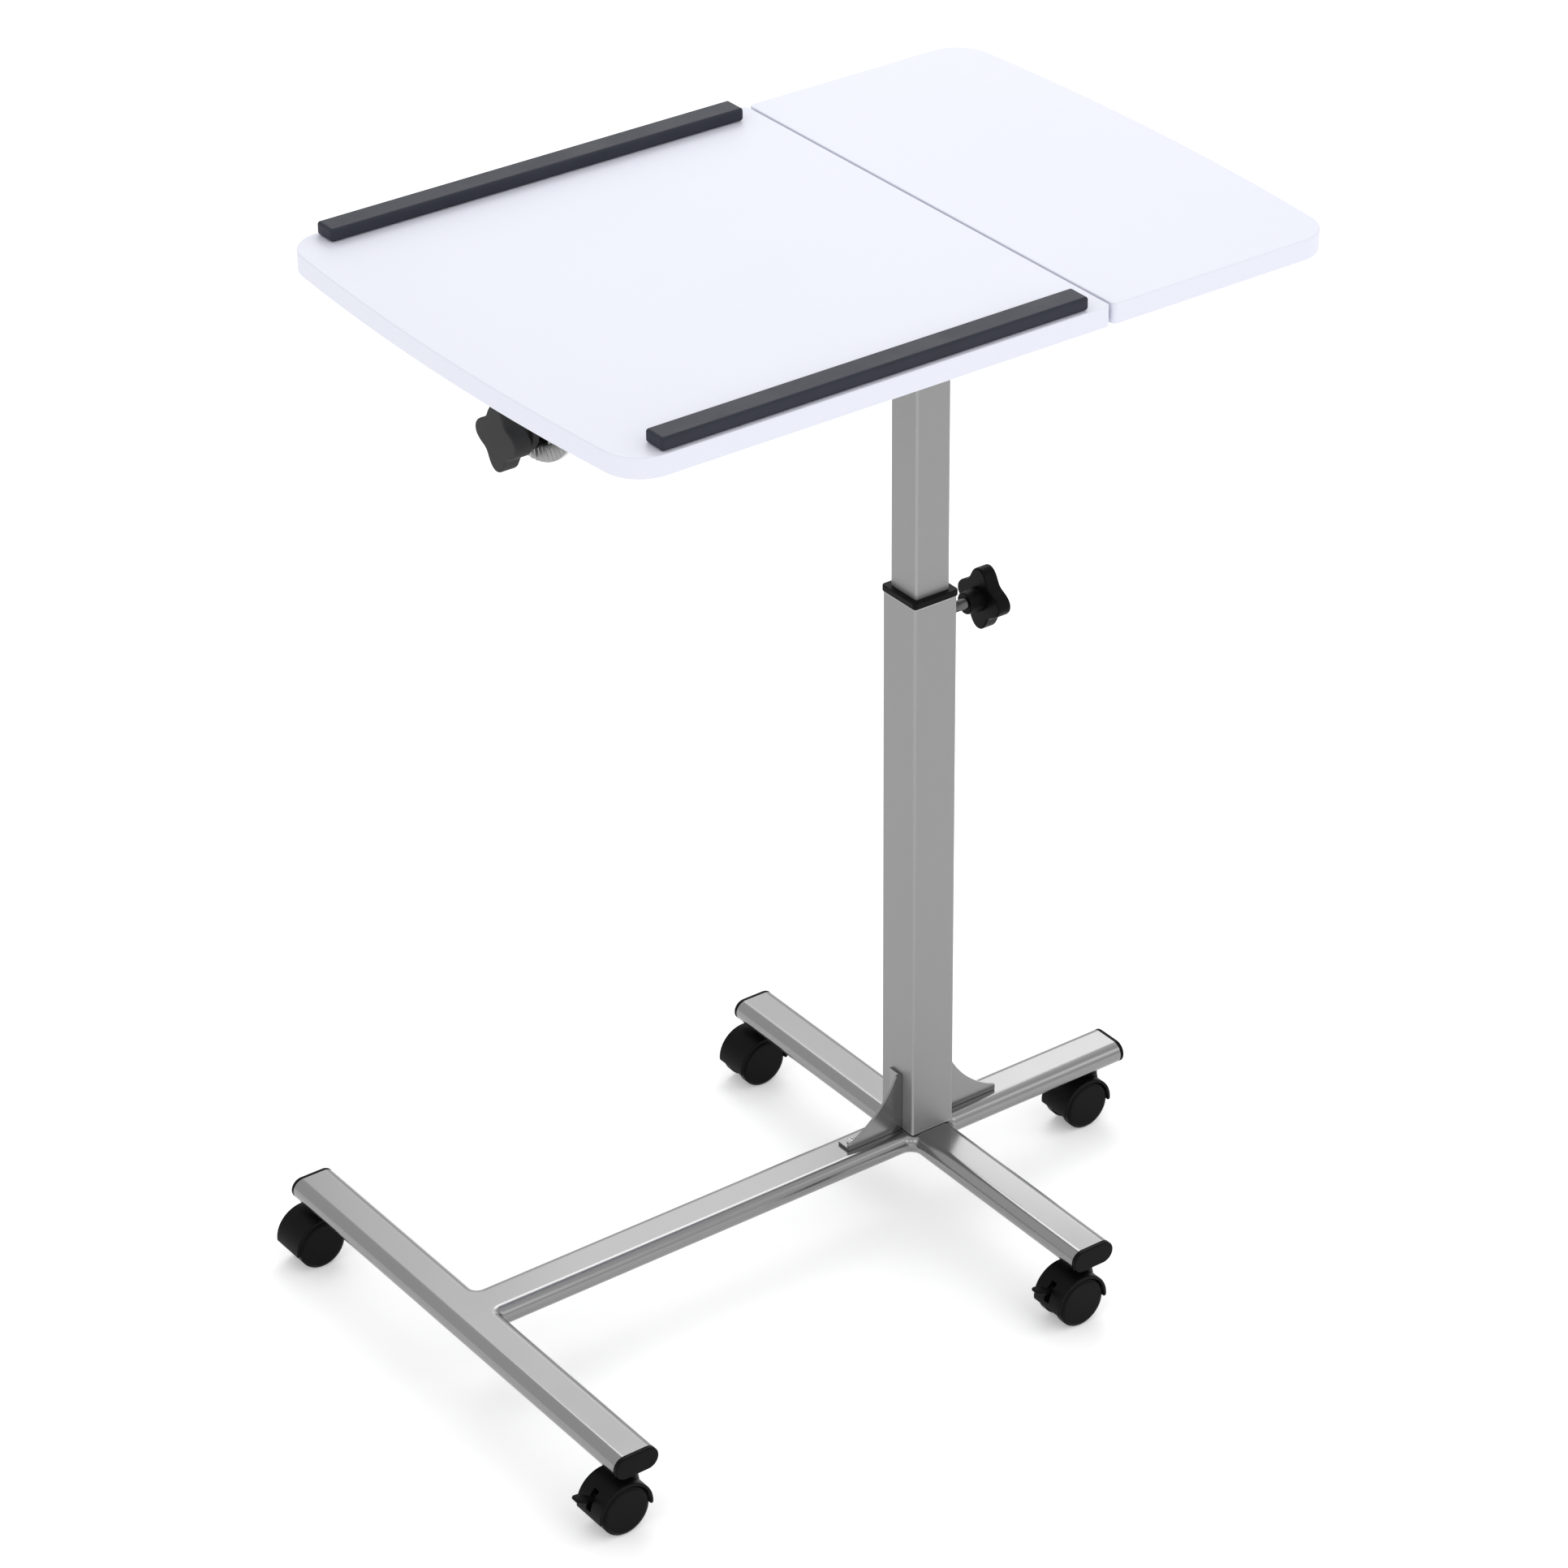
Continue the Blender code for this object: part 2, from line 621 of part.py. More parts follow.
def build_knob(name, material, rear_x, z, outward, thick, boss, boss_radius, parent):
    """A four-lobed knob on the X axis with a boss on its rear face."""
    middle = rear_x + outward * thick / 2
    knob = extruded(name, [knob_outline()], thick, material, at(middle, 0, z), ALONG_X, parent)
    boss_middle = rear_x - outward * (boss - OVERLAP) / 2
    half = (boss + OVERLAP) / 2
    join(knob, turned(name + "_boss", cylinder_profile(boss_radius, half, -half), None, at(boss_middle, 0, z),
                      TURN_TO_X, steps=20))
    depth = boss + thick - KNOB_SOCKET_FLOOR
    cut(knob, turned(name + "_socket", cylinder_profile(BOLT_HOLE, depth, -depth), None,
                     at(rear_x - outward * boss, 0, z), TURN_TO_X, steps=16))


def build_column_knob():
    axis = axis_empty("column_knob_axis", at(COLUMN_KNOB_REAR, 0, COLUMN_KNOB_Z))
    build_knob("column_knob", PLASTIC, COLUMN_KNOB_REAR, COLUMN_KNOB_Z, 1, KNOB_THICK, COLUMN_BOSS_LENGTH,
               COLUMN_BOSS_RADIUS, axis)
    tip = INNER_SIDE / 2 + GAP
    end = COLUMN_KNOB_REAR + KNOB_THICK - KNOB_SOCKET_FLOOR - 2 * GAP
    half = (end - tip) / 2
    turned("column_knob_stud", cylinder_profile(BOLT_RADIUS, half, -half), ZINC,
           at((tip + end) / 2, 0, COLUMN_KNOB_Z), TURN_TO_X, axis, steps=16)
    nut_loops = [rounded_square(NUT_SIDE, 1 * MM), circle((0, 0), BOLT_HOLE, 16)]
    extruded("stud_nut", nut_loops, NUT_THICK, ZINC,
             at(OUTER_SIDE / 2 - TUBE_WALL - GAP - NUT_THICK / 2, 0, COLUMN_KNOB_Z), ALONG_X)


def build_tilt_knob(lift):
    rear = TILT_KNOB_FRONT + TILT_KNOB_THICK
    build_knob("tilt_knob", KNOB_BLACK, rear, CLAMP_Z, -1, TILT_KNOB_THICK, TILT_BOSS_LENGTH,
               TILT_BOSS_RADIUS, lift)

    flange_start = rear + TILT_BOSS_LENGTH + GAP
    flange_end = QUADRANT_X - GAP
    spigot_end = QUADRANT_X + QUADRANT_THICK + 2 * GAP
    spigot_radius = (SLOT_OUTER - SLOT_INNER) / 2 - 2 * GAP
    profile = [(BOLT_HOLE, spigot_end), (spigot_radius, spigot_end), (spigot_radius, flange_end),
               (BUSH_RADIUS, flange_end), (BUSH_RADIUS, flange_start), (BOLT_HOLE, flange_start)]
    turned("clamp_bush", [(radius, x - flange_start) for radius, x in profile], KNOB_BLACK,
           at(flange_start, 0, CLAMP_Z), TURN_TO_X, lift, ring=True)

    head_start = link_face() + LINK_THICK + GAP
    shank_end = TILT_KNOB_FRONT + KNOB_SOCKET_FLOOR + 2 * GAP
    shank = shank_end - head_start
    profile = [(0, BOLT_HEAD_HEIGHT), (BOLT_HEAD_RADIUS * 0.7, BOLT_HEAD_HEIGHT * 0.8),
               (BOLT_HEAD_RADIUS, BOLT_HEAD_HEIGHT * 0.2), (BOLT_HEAD_RADIUS, 0),
               (BOLT_RADIUS, 0), (BOLT_RADIUS, shank), (0, shank)]
    turned("clamp_bolt", profile, ZINC, at(head_start, 0, CLAMP_Z), TURN_TO_X, lift, steps=16)


def link_face():
    """Front of the link plate that hangs from the pivot tube's end."""
    return PIVOT_LEFT - GAP - LINK_THICK


# Sliding upper part

def build_lift():
    lift = axis_empty("column_slide", at(0, 0, OUTER_TOP))
    head = PIVOT_Z - 1.5 * MM
    loops = [rounded_square(INNER_SIDE, INNER_CORNER_RADIUS),
             rounded_square(INNER_SIDE - 2 * TUBE_WALL, 1 * MM)]
    inner = extruded("inner_column", loops, head - INNER_BOTTOM, COLUMN_GREY,
                     at(0, 0, (head + INNER_BOTTOM) / 2), FLAT, lift)
    cut(inner, turned("pivot_room", cylinder_profile(PIVOT_RADIUS + GAP, INNER_SIDE, -INNER_SIDE), None,
                      at(0, 0, PIVOT_Z), TURN_TO_X))

    guide_side = OUTER_SIDE - 2 * TUBE_WALL - 2 * GAP
    guide = extruded("column_guide", [rounded_square(guide_side, 1.2 * MM)], GUIDE_BLOCK, PLASTIC,
                     at(0, 0, INNER_BOTTOM - GAP - GUIDE_BLOCK / 2), FLAT, lift)
    plug_side = INNER_SIDE - 2 * TUBE_WALL - 2 * GAP
    join(guide, extruded("guide_plug", [rounded_square(plug_side, 1 * MM)], GUIDE_PLUG, None,
                         at(0, 0, INNER_BOTTOM - GAP - OVERLAP + GUIDE_PLUG / 2)))

    length = PIVOT_RIGHT - PIVOT_LEFT
    profile = [(PIVOT_RADIUS - PIVOT_WALL, length), (PIVOT_RADIUS, length), (PIVOT_RADIUS, 0),
               (PIVOT_RADIUS - PIVOT_WALL, 0)]
    turned("pivot_tube", profile, STEEL, at(PIVOT_LEFT, 0, PIVOT_Z), TURN_TO_X, lift, ring=True, steps=28)
    cap_radius = PIVOT_RADIUS - PIVOT_WALL - GAP
    profile = [(0, 3 * MM), (PIVOT_RADIUS - 1 * MM, 3 * MM), (PIVOT_RADIUS, 2 * MM), (PIVOT_RADIUS, GAP),
               (cap_radius, GAP), (cap_radius, -10 * MM), (0, -10 * MM)]
    turned("pivot_tube_cap", profile, PLASTIC, at(PIVOT_RIGHT, 0, PIVOT_Z), TURN_TO_X, lift)

    outline = arc((0, 0), LINK_RADIUS, 0, 180, 10)
    outline += arc((0, -CLAMP_DROP), LINK_RADIUS, 180, 360, 10)
    extruded("clamp_link", [outline, circle((0, -CLAMP_DROP), BOLT_HOLE, 16)], LINK_THICK, STEEL,
             at(link_face() + LINK_THICK / 2, 0, PIVOT_Z), ALONG_X, lift)

    build_small_board(lift)
    build_tilt_knob(lift)


def cradle(name, start, end, lug_places, bore, parent):
    """A flat plate with drilled lugs that ring the pivot tube."""
    top = UNDERSIDE - GAP
    plate = box(name, (end - start, 2 * CRADLE_HALF_WIDTH, CRADLE_THICK), STEEL,
                at((start + end) / 2, 0, top - CRADLE_THICK / 2), parent)
    rise = top - CRADLE_THICK / 2 - PIVOT_Z
    outline = arc((0, 0), LUG_RADIUS, 180, 360, 12) + [(LUG_RADIUS, rise), (-LUG_RADIUS, rise)]
    for number, x in enumerate(lug_places):
        lug = extruded(name + "_lug_" + str(number), [outline, circle((0, 0), bore, 28)], LUG_THICK, None,
                       at(x, 0, PIVOT_Z), ALONG_X)
        join(plate, lug)
    return plate


def board_screw(name, piece, board, x, y, parent):
    """A screw up through a cradle plate into a blind hole in the board."""
    for target, reach in ((piece, CRADLE_THICK), (board, BOARD_SCREW_LENGTH - 1.5 * MM)):
        hole = turned(name + "_hole_" + target.name, cylinder_profile(SCREW_RADIUS + GAP, reach, -5 * MM),
                      None, at(x, y, UNDERSIDE), steps=12)
        cut(target, hole)
    seat = at(x, y, UNDERSIDE - CRADLE_THICK - 2 * GAP)
    build_screw(name, seat, (math.pi, 0, 0), BOARD_SCREW_LENGTH, parent)


def build_small_board(lift):
    outline = board_outline(SMALL_BOARD_SEAM, SMALL_BOARD_END)
    board = extruded("small_board", [outline], BOARD_THICK, WHITE,
                     at(0, 0, UNDERSIDE + BOARD_THICK / 2), FLAT, lift)
    plate = cradle("fixed_cradle", 24 * MM, 160 * MM, (36 * MM, 148 * MM), PIVOT_RADIUS + GAP, lift)
    for number, y in enumerate((-28 * MM, 28 * MM)):
        board_screw("fixed_cradle_screw_" + str(number + 1), plate, board, 92 * MM, y, lift)


def build_tilting_top():
    tilt = axis_empty("tilt_axis", at(PIVOT_LEFT, 0, PIVOT_Z))
    outline = board_outline(LARGE_BOARD_SEAM, LARGE_BOARD_END)
    board = extruded("large_board", [outline], BOARD_THICK, WHITE,
                     at(0, 0, UNDERSIDE + BOARD_THICK / 2), FLAT, tilt)
    plate = cradle("tilt_cradle", QUADRANT_X, -36 * MM, (-290 * MM, -60 * MM), PIVOT_RADIUS + GAP, tilt)
    for number, x in enumerate((-250 * MM, -100 * MM)):
        board_screw("tilt_cradle_screw_" + str(number + 1), plate, board, x, 28 * MM - number * 56 * MM, tilt)
    build_quadrant(tilt)
    length = STRIP_END - STRIP_START
    for name, side in (("front", -1), ("back", 1)):
        y = side * (BOARD_DEPTH / 2 - STRIP_INSET - STRIP_WIDTH / 2)
        strip = box(name + "_book_strip", (length, STRIP_WIDTH, STRIP_HEIGHT), SLATE,
                    at((STRIP_START + STRIP_END) / 2, y, BOARD_TOP + GAP + STRIP_HEIGHT / 2), tilt)
        soften = strip.modifiers.new("Soft edges", "BEVEL")
        soften.width = 2 * MM
        soften.segments = 2


def build_quadrant(tilt):
    """A half-round plate whose curved slot rides on the clamp bush."""
    top = UNDERSIDE - GAP - CRADLE_THICK - GAP - PIVOT_Z
    outline = arc((0, 0), QUADRANT_RADIUS, 180, 360, 28)
    outline += [(QUADRANT_RADIUS, top), (-QUADRANT_RADIUS, top)]
    start = 270 - SLOT_HALF_ANGLE
    end = 270 + SLOT_HALF_ANGLE
    middle = (SLOT_OUTER + SLOT_INNER) / 2
    half = (SLOT_OUTER - SLOT_INNER) / 2
    slot = arc((0, 0), SLOT_OUTER, start, end, 16)
    last = math.radians(end)
    slot += arc((middle * math.cos(last), middle * math.sin(last)), half, end, end + 180, 6)[1:-1]
    slot += arc((0, 0), SLOT_INNER, end, start, 12)
    first = math.radians(start)
    slot += arc((middle * math.cos(first), middle * math.sin(first)), half, start + 180, start + 360, 6)[1:-1]
    extruded("tilt_quadrant", [outline, slot], QUADRANT_THICK, BRIGHT_STEEL,
             at(QUADRANT_X + QUADRANT_THICK / 2, 0, PIVOT_Z), ALONG_X, tilt)


for old in list(bpy.data.objects):
    bpy.data.objects.remove(old)

PARTS = bpy.data.collections.new("overbed_table")
CUTTERS = bpy.data.collections.new("cutters")
bpy.context.scene.collection.children.link(PARTS)
bpy.context.scene.collection.children.link(CUTTERS)

STEEL = make_material("satin_steel", (0.37, 0.37, 0.37), 0.28, 0.9)
COLUMN_GREY = make_material("silver_paint", (0.29, 0.29, 0.29), 0.42, 0.6)
BRIGHT_STEEL = make_material("bright_steel", (0.60, 0.60, 0.60), 0.25, 1.0)
ZINC = make_material("zinc_screw", (0.55, 0.55, 0.56), 0.35, 1.0)
DARK_STEEL = make_material("dark_steel", (0.05, 0.05, 0.05), 0.45, 0.8)
PLASTIC = make_material("black_plastic", (0.012, 0.012, 0.012), 0.45, 0.0)
KNOB_BLACK = make_material("knob_plastic", (0.035, 0.035, 0.035), 0.55, 0.0)
SLATE = make_material("slate_plastic", (0.045, 0.050, 0.070), 0.50, 0.0)
WHITE = make_material("white_laminate", (0.85, 0.87, 0.93), 0.40, 0.0)

build_base()
build_casters()
build_column_knob()
build_lift()
build_tilting_top()
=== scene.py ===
"""Looks of the overbed table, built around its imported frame.

Metres, +Z up, floor at z = 0.  Places and sizes are read from the frame's nodes.
"""

import json
import math

import bmesh
import bpy
from mathutils import Matrix, Vector


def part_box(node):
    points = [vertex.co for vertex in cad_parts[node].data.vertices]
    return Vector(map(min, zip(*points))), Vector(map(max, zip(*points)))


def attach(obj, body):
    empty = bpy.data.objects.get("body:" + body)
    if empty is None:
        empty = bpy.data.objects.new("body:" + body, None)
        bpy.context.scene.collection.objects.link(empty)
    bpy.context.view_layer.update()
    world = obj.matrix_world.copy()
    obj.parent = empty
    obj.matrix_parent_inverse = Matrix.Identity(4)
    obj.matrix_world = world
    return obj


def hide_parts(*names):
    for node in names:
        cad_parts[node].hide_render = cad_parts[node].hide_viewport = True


MM = 0.001
CLEARANCE = 0.3 * MM

# Camera
CAMERA_PLACE = Vector((-1.90645, -2.6298, 2.3049))
CAMERA_AZIMUTH = math.radians(-36.93)
CAMERA_ELEVATION = math.radians(28.31)
CAMERA_LENS = 125.37
CAMERA_SHIFT = (-0.0520, -0.1379)

# Studio: softboxes as (name, azimuth, elevation, power), small ones as (name, place, power)
LAMP_TARGET = Vector((0, 0, 0.3))
WORLD_STRENGTH = 0.91
FLOOR_GLOW = 0.2
CAMERA_LAMP = 6.9
BACK_DISTANCE = 2.6
BACK_SIZE = (1.3, 0.9)
FRONT_DISTANCE = 3.0
CAMERA_LAMP_DISTANCE = 4.6
FRONT_SIZE = (1.6, 1.2)
NEAR_SIZE = (0.26, 0.22)
BACK_LAMPS = [("back_high", 53, 50, 10.7), ("back", 53, 28, 3.0), ("right_back_high", 20, 50, 0.8)]
FRONT_LAMPS = [("left", -170, 25, 7.0), ("front", -80, 25, 5.8), ("right", -35, 25, 5.9),
               ("front_high", -80, 55, 1.0)]
NEAR_LAMPS = [("near_right", (0.78, 0.62, 0.63), 0.25), ("near_left", (0.36, 0.66, 0.62), 0.08)]

# Tube frame
WELD_FILLET = 6 * MM
TUBE_STEPS = 14
CAP_THICK = 3 * MM
OVERLAP = 1 * MM

# Casters
HOOD_LIP = 3 * MM
HOOD_GAP = 0.9 * MM
HOOD_WEB_HALF = 5.5 * MM
HOOD_EDGE = 0.7 * MM
NECK_RADIUS = 8 * MM
NECK_FOOT_RADIUS = 9.5 * MM
STEM_RADIUS = 4 * MM
STEM_BORE_FLOOR = 24.8 * MM
AXLE_RADIUS = 3.5 * MM

# Boards
BOARD_OUTER_CORNER = 28 * MM
BOARD_SEAM_CORNER = 4 * MM

# Cradle lugs, from each plate's left end
FIXED_LUGS = (12 * MM, 124 * MM)
TILT_LUGS = (28.3 * MM, 258.3 * MM)

# Tilt quadrant
SLOT_OUTER = 44 * MM
SLOT_INNER = 27 * MM
SLOT_HALF_ANGLE = 62
TOOTH_COUNT = 30
TOOTH_DEPTH = 0.9 * MM

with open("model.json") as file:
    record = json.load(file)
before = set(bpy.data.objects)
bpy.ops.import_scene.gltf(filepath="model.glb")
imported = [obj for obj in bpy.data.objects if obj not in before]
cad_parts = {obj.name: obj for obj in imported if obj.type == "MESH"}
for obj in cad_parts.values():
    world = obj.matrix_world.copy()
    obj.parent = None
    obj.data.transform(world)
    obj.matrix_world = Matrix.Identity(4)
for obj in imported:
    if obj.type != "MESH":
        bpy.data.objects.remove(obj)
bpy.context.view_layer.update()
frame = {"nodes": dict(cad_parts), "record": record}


# ---------------------------------------------------------------- outlines

def arc(centre, radius, start, end, steps):
    """Points on an arc, angles in degrees, both ends included."""
    points = []
    for step in range(steps + 1):
        angle = math.radians(start + (end - start) * step / steps)
        points.append((centre[0] + radius * math.cos(angle), centre[1] + radius * math.sin(angle)))
    return points


def circle(centre, radius, steps):
    return arc(centre, radius, 0, 360 * (steps - 1) / steps, steps - 1)


def oval(width, height, steps=24):
    offset = (width - height) / 2
    right = arc((offset, 0), height / 2, -90, 90, steps)
    return right + arc((-offset, 0), height / 2, 90, 270, steps)


def fillet(corner, before, after, radius, steps):
    """Points that round one corner of an outline, convex or hollow."""
    corner = Vector(corner)
    back = (Vector(before) - corner).normalized()
    ahead = (Vector(after) - corner).normalized()
    half = back.angle(ahead) / 2
    centre = corner + (back + ahead).normalized() * radius / math.sin(half)
    first = corner + back * radius / math.tan(half)
    last = corner + ahead * radius / math.tan(half)
    start = math.atan2(first.y - centre.y, first.x - centre.x)
    sweep = math.atan2(last.y - centre.y, last.x - centre.x) - start
    sweep = (sweep + math.pi) % (2 * math.pi) - math.pi
    points = []
    for step in range(steps + 1):
        angle = start + sweep * step / steps
        points.append((centre.x + radius * math.cos(angle), centre.y + radius * math.sin(angle)))
    return points


def soften(corners, steps=6):
    """A closed outline from (x, y, radius) corners."""
    points = []
    for index, (x, y, radius) in enumerate(corners):
        before = corners[index - 1][:2]
        after = corners[(index + 1) % len(corners)][:2]
        if radius:
            points += fillet((x, y), before, after, radius, steps)
        else:
            points.append((x, y))
    return points


def soft_profile(corners, radius, steps=4):
    """An open (radius, height) profile with its inner corners rounded."""
    points = [corners[0]]
    for before, corner, after in zip(corners, corners[1:], corners[2:]):
        room = min((Vector(before) - Vector(corner)).length, (Vector(after) - Vector(corner)).length)
        points += fillet(corner, before, after, min(radius, room * 0.45), steps)
    return points + [corners[-1]]


def rounded_rectangle(width, height, radius, steps=8):
    x = width / 2
    y = height / 2
    return soften([(x, y, radius), (-x, y, radius), (-x, -y, radius), (x, -y, radius)], steps)


# ---------------------------------------------------------------- meshes

ALONG_X = Matrix(((0, 0, 1, 0), (1, 0, 0, 0), (0, 1, 0, 0), (0, 0, 0, 1)))
ALONG_Y = Matrix(((1, 0, 0, 0), (0, 0, -1, 0), (0, 1, 0, 0), (0, 0, 0, 1)))
ALONG_Z = Matrix.Identity(4)


def polar(radius, angle):
    turn = math.radians(angle)
    return (radius * math.cos(turn), radius * math.sin(turn))


def placed(place, turn=ALONG_Z):
    return Matrix.Translation(place) @ turn


def new_object(name, mesh):
    piece = bpy.data.objects.new(name, mesh)
    bpy.context.scene.collection.objects.link(piece)
    return piece


def finish_shading(piece, angle=32):
    """Smooth shading that keeps flat faces flat beside their rounded edges."""
    piece.data.shade_smooth()
    piece.data.set_sharp_from_angle(angle=math.radians(angle))
    weighted = piece.modifiers.new("Weighted normals", "WEIGHTED_NORMAL")
    weighted.keep_sharp = True
    weighted.weight = 100


def plate(name, loops, thickness, matrix, edge=0.0, steps=4):
    """A filled flat outline with holes, given thickness and rounded rims, centred on its plane."""
    curve = bpy.data.curves.new(name, "CURVE")
    curve.dimensions = "2D"
    curve.fill_mode = "BOTH"
    curve.extrude = thickness / 2 - edge
    curve.bevel_depth = edge
    curve.bevel_resolution = steps
    curve.offset = -edge
    for loop in loops:
        spline = curve.splines.new("POLY")
        spline.points.add(len(loop) - 1)
        for point, (x, y) in zip(spline.points, loop):
            point.co = (x, y, 0, 1)
        spline.use_cyclic_u = True
    guide = new_object(name, curve)
    bpy.context.view_layer.update()
    evaluated = guide.evaluated_get(bpy.context.evaluated_depsgraph_get())
    mesh = bpy.data.meshes.new_from_object(evaluated)
    bpy.data.objects.remove(guide)
    bpy.data.curves.remove(curve)
    shape = bmesh.new()
    shape.from_mesh(mesh)
    bmesh.ops.remove_doubles(shape, verts=shape.verts, dist=0.000001)
    bmesh.ops.recalc_face_normals(shape, faces=shape.faces)
    bmesh.ops.transform(shape, matrix=matrix, verts=shape.verts)
    shape.to_mesh(mesh)
    shape.free()
    mesh.materials.clear()
    return new_object(name, mesh)


def lathe(name, profile, matrix, steps=48):
    """A profile of (radius, height) points turned about local Z, both ends on the axis or open."""
    shape = bmesh.new()
    rings = []
    for radius, height in profile:
        if radius < 1e-7:
            rings.append([shape.verts.new((0, 0, height))])
            continue
        ring = []
        for step in range(steps):
            angle = 2 * math.pi * step / steps
            ring.append(shape.verts.new((radius * math.cos(angle), radius * math.sin(angle), height)))
        rings.append(ring)
    for upper, lower in zip(rings, rings[1:]):
        for step in range(steps):
            following = (step + 1) % steps
            corners = [upper[step % len(upper)], lower[step % len(lower)],
                       lower[following % len(lower)], upper[following % len(upper)]]
            shape.faces.new(list(dict.fromkeys(corners)))
    bmesh.ops.remove_doubles(shape, verts=shape.verts, dist=0.000001)
    bmesh.ops.recalc_face_normals(shape, faces=shape.faces)
    bmesh.ops.transform(shape, matrix=matrix, verts=shape.verts)
    mesh = bpy.data.meshes.new(name)
    shape.to_mesh(mesh)
    shape.free()
    return new_object(name, mesh)


def closed_ring(profile):
    """A ring's section, closed on itself, for lathe()."""
    return profile + [profile[0]]


def rounded_box(name, size, matrix, edge, steps=3):
    return plate(name, [rounded_rectangle(size[0], size[1], edge, steps * 2)], size[2], matrix, edge, steps)


def combine(piece, tool, operation):
    """Applies a Boolean at once and removes the tool."""
    modifier = piece.modifiers.new("Combine", "BOOLEAN")
    modifier.object = tool
    modifier.operation = operation
    modifier.solver = "MANIFOLD"
    bpy.context.view_layer.update()
    evaluated = piece.evaluated_get(bpy.context.evaluated_depsgraph_get())
    mesh = bpy.data.meshes.new_from_object(evaluated)
    piece.modifiers.clear()
    piece.data = mesh
    bpy.data.objects.remove(tool)


def unite(piece, tool):
    combine(piece, tool, "UNION")


def carve(piece, tool):
    combine(piece, tool, "DIFFERENCE")


def soft_edges(piece, width, steps=3):
    bevel = piece.modifiers.new("Soft edges", "BEVEL")
    bevel.width = width
    bevel.segments = steps
    bevel.limit_method = "ANGLE"
    bevel.angle_limit = math.radians(40)


def show(piece, material, slot, body, *nodes, angle=32):
    """Finishes a piece: material, shading, the body it rides on and the nodes it stands for."""
    piece.data.materials.clear()
    piece.data.materials.append(material)
    finish_shading(piece, angle)
    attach(piece, body)
    if nodes:
        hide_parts(*nodes)
    return piece


def centre_and_size(node):
    low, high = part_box(node)
    return (low + high) / 2, high - low


# ---------------------------------------------------------------- materials

class Nodes:
    """Small helper that adds and links shader nodes of one material."""

    def __init__(self, name):
        self.material = bpy.data.materials.new(name)
        self.material.use_nodes = True
        self.tree = self.material.node_tree
        self.shader = self.tree.nodes["Principled BSDF"]
        self.place = self.add("ShaderNodeTexCoord").outputs["Object"]

    def add(self, kind, **settings):
        node = self.tree.nodes.new(kind)
        for key, value in settings.items():
            setattr(node, key, value)
        return node

    def link(self, source, target):
        self.tree.links.new(source, target)

    def noise(self, scale, detail=2, roughness=0.5, stretch=(1, 1, 1)):
        """A noise pattern, scale in cycles per metre."""
        mapping = self.add("ShaderNodeMapping")
        mapping.inputs["Scale"].default_value = stretch
        self.link(self.place, mapping.inputs["Vector"])
        node = self.add("ShaderNodeTexNoise")
        node.inputs["Scale"].default_value = scale
        node.inputs["Detail"].default_value = detail
        node.inputs["Roughness"].default_value = roughness
        self.link(mapping.outputs["Vector"], node.inputs["Vector"])
        return node.outputs["Fac"]

    def spread(self, value, low, high, start=0.3, end=0.7):
        """Maps start..end of a value to low..high."""
        node = self.add("ShaderNodeMapRange")
        node.inputs["From Min"].default_value = start
        node.inputs["From Max"].default_value = end
        node.inputs["To Min"].default_value = low
        node.inputs["To Max"].default_value = high
        self.link(value, node.inputs["Value"])
        return node.outputs["Result"]

    def mix(self, factor, first, second):
        node = self.add("ShaderNodeMix", data_type="RGBA")
        if isinstance(factor, (int, float)):
            node.inputs["Factor"].default_value = factor
        else:
            self.link(factor, node.inputs["Factor"])
        for socket, colour in ((node.inputs[6], first), (node.inputs[7], second)):
            if isinstance(colour, tuple):
                socket.default_value = (*colour, 1)
            else:
                self.link(colour, socket)
        return node.outputs[2]

    def bump(self, heights, distance, strength=1.0):
        """Chains bump nodes, finest last."""
        normal = None
        for height in heights:
            node = self.add("ShaderNodeBump")
            node.inputs["Distance"].default_value = distance
            node.inputs["Strength"].default_value = strength
            self.link(height, node.inputs["Height"])
            if normal:
                self.link(normal, node.inputs["Normal"])
            normal = node.outputs["Normal"]
        self.link(normal, self.shader.inputs["Normal"])

    def edges(self, radius):
        """1 along a piece's outer edges, 0 on its faces: the mask for painted edge highlights."""
        bevel = self.add("ShaderNodeBevel", samples=4)
        bevel.inputs["Radius"].default_value = radius
        geometry = self.add("ShaderNodeNewGeometry")
        dot = self.add("ShaderNodeVectorMath", operation="DOT_PRODUCT")
        self.link(bevel.outputs["Normal"], dot.inputs[0])
        self.link(geometry.outputs["Normal"], dot.inputs[1])
        return self.spread(dot.outputs["Value"], 1, 0, 0.90, 0.995)

    def hollows(self, reach):
        """1 in the bottom of narrow grooves, 0 on open faces: the ambient-occlusion mask for painted shade.
        """
        shade = self.add("ShaderNodeAmbientOcclusion", samples=8, only_local=True)
        shade.inputs["Distance"].default_value = reach
        return self.spread(shade.outputs["AO"], 1, 0, 0.45, 0.9)

    def set(self, **values):
        for key, value in values.items():
            socket = self.shader.inputs[key.replace("_", " ")]
            if hasattr(value, "is_linked"):
                self.link(value, socket)
            else:
                socket.default_value = value


def tint(colour, factor):
    return tuple(min(1, channel * factor) for channel in colour)


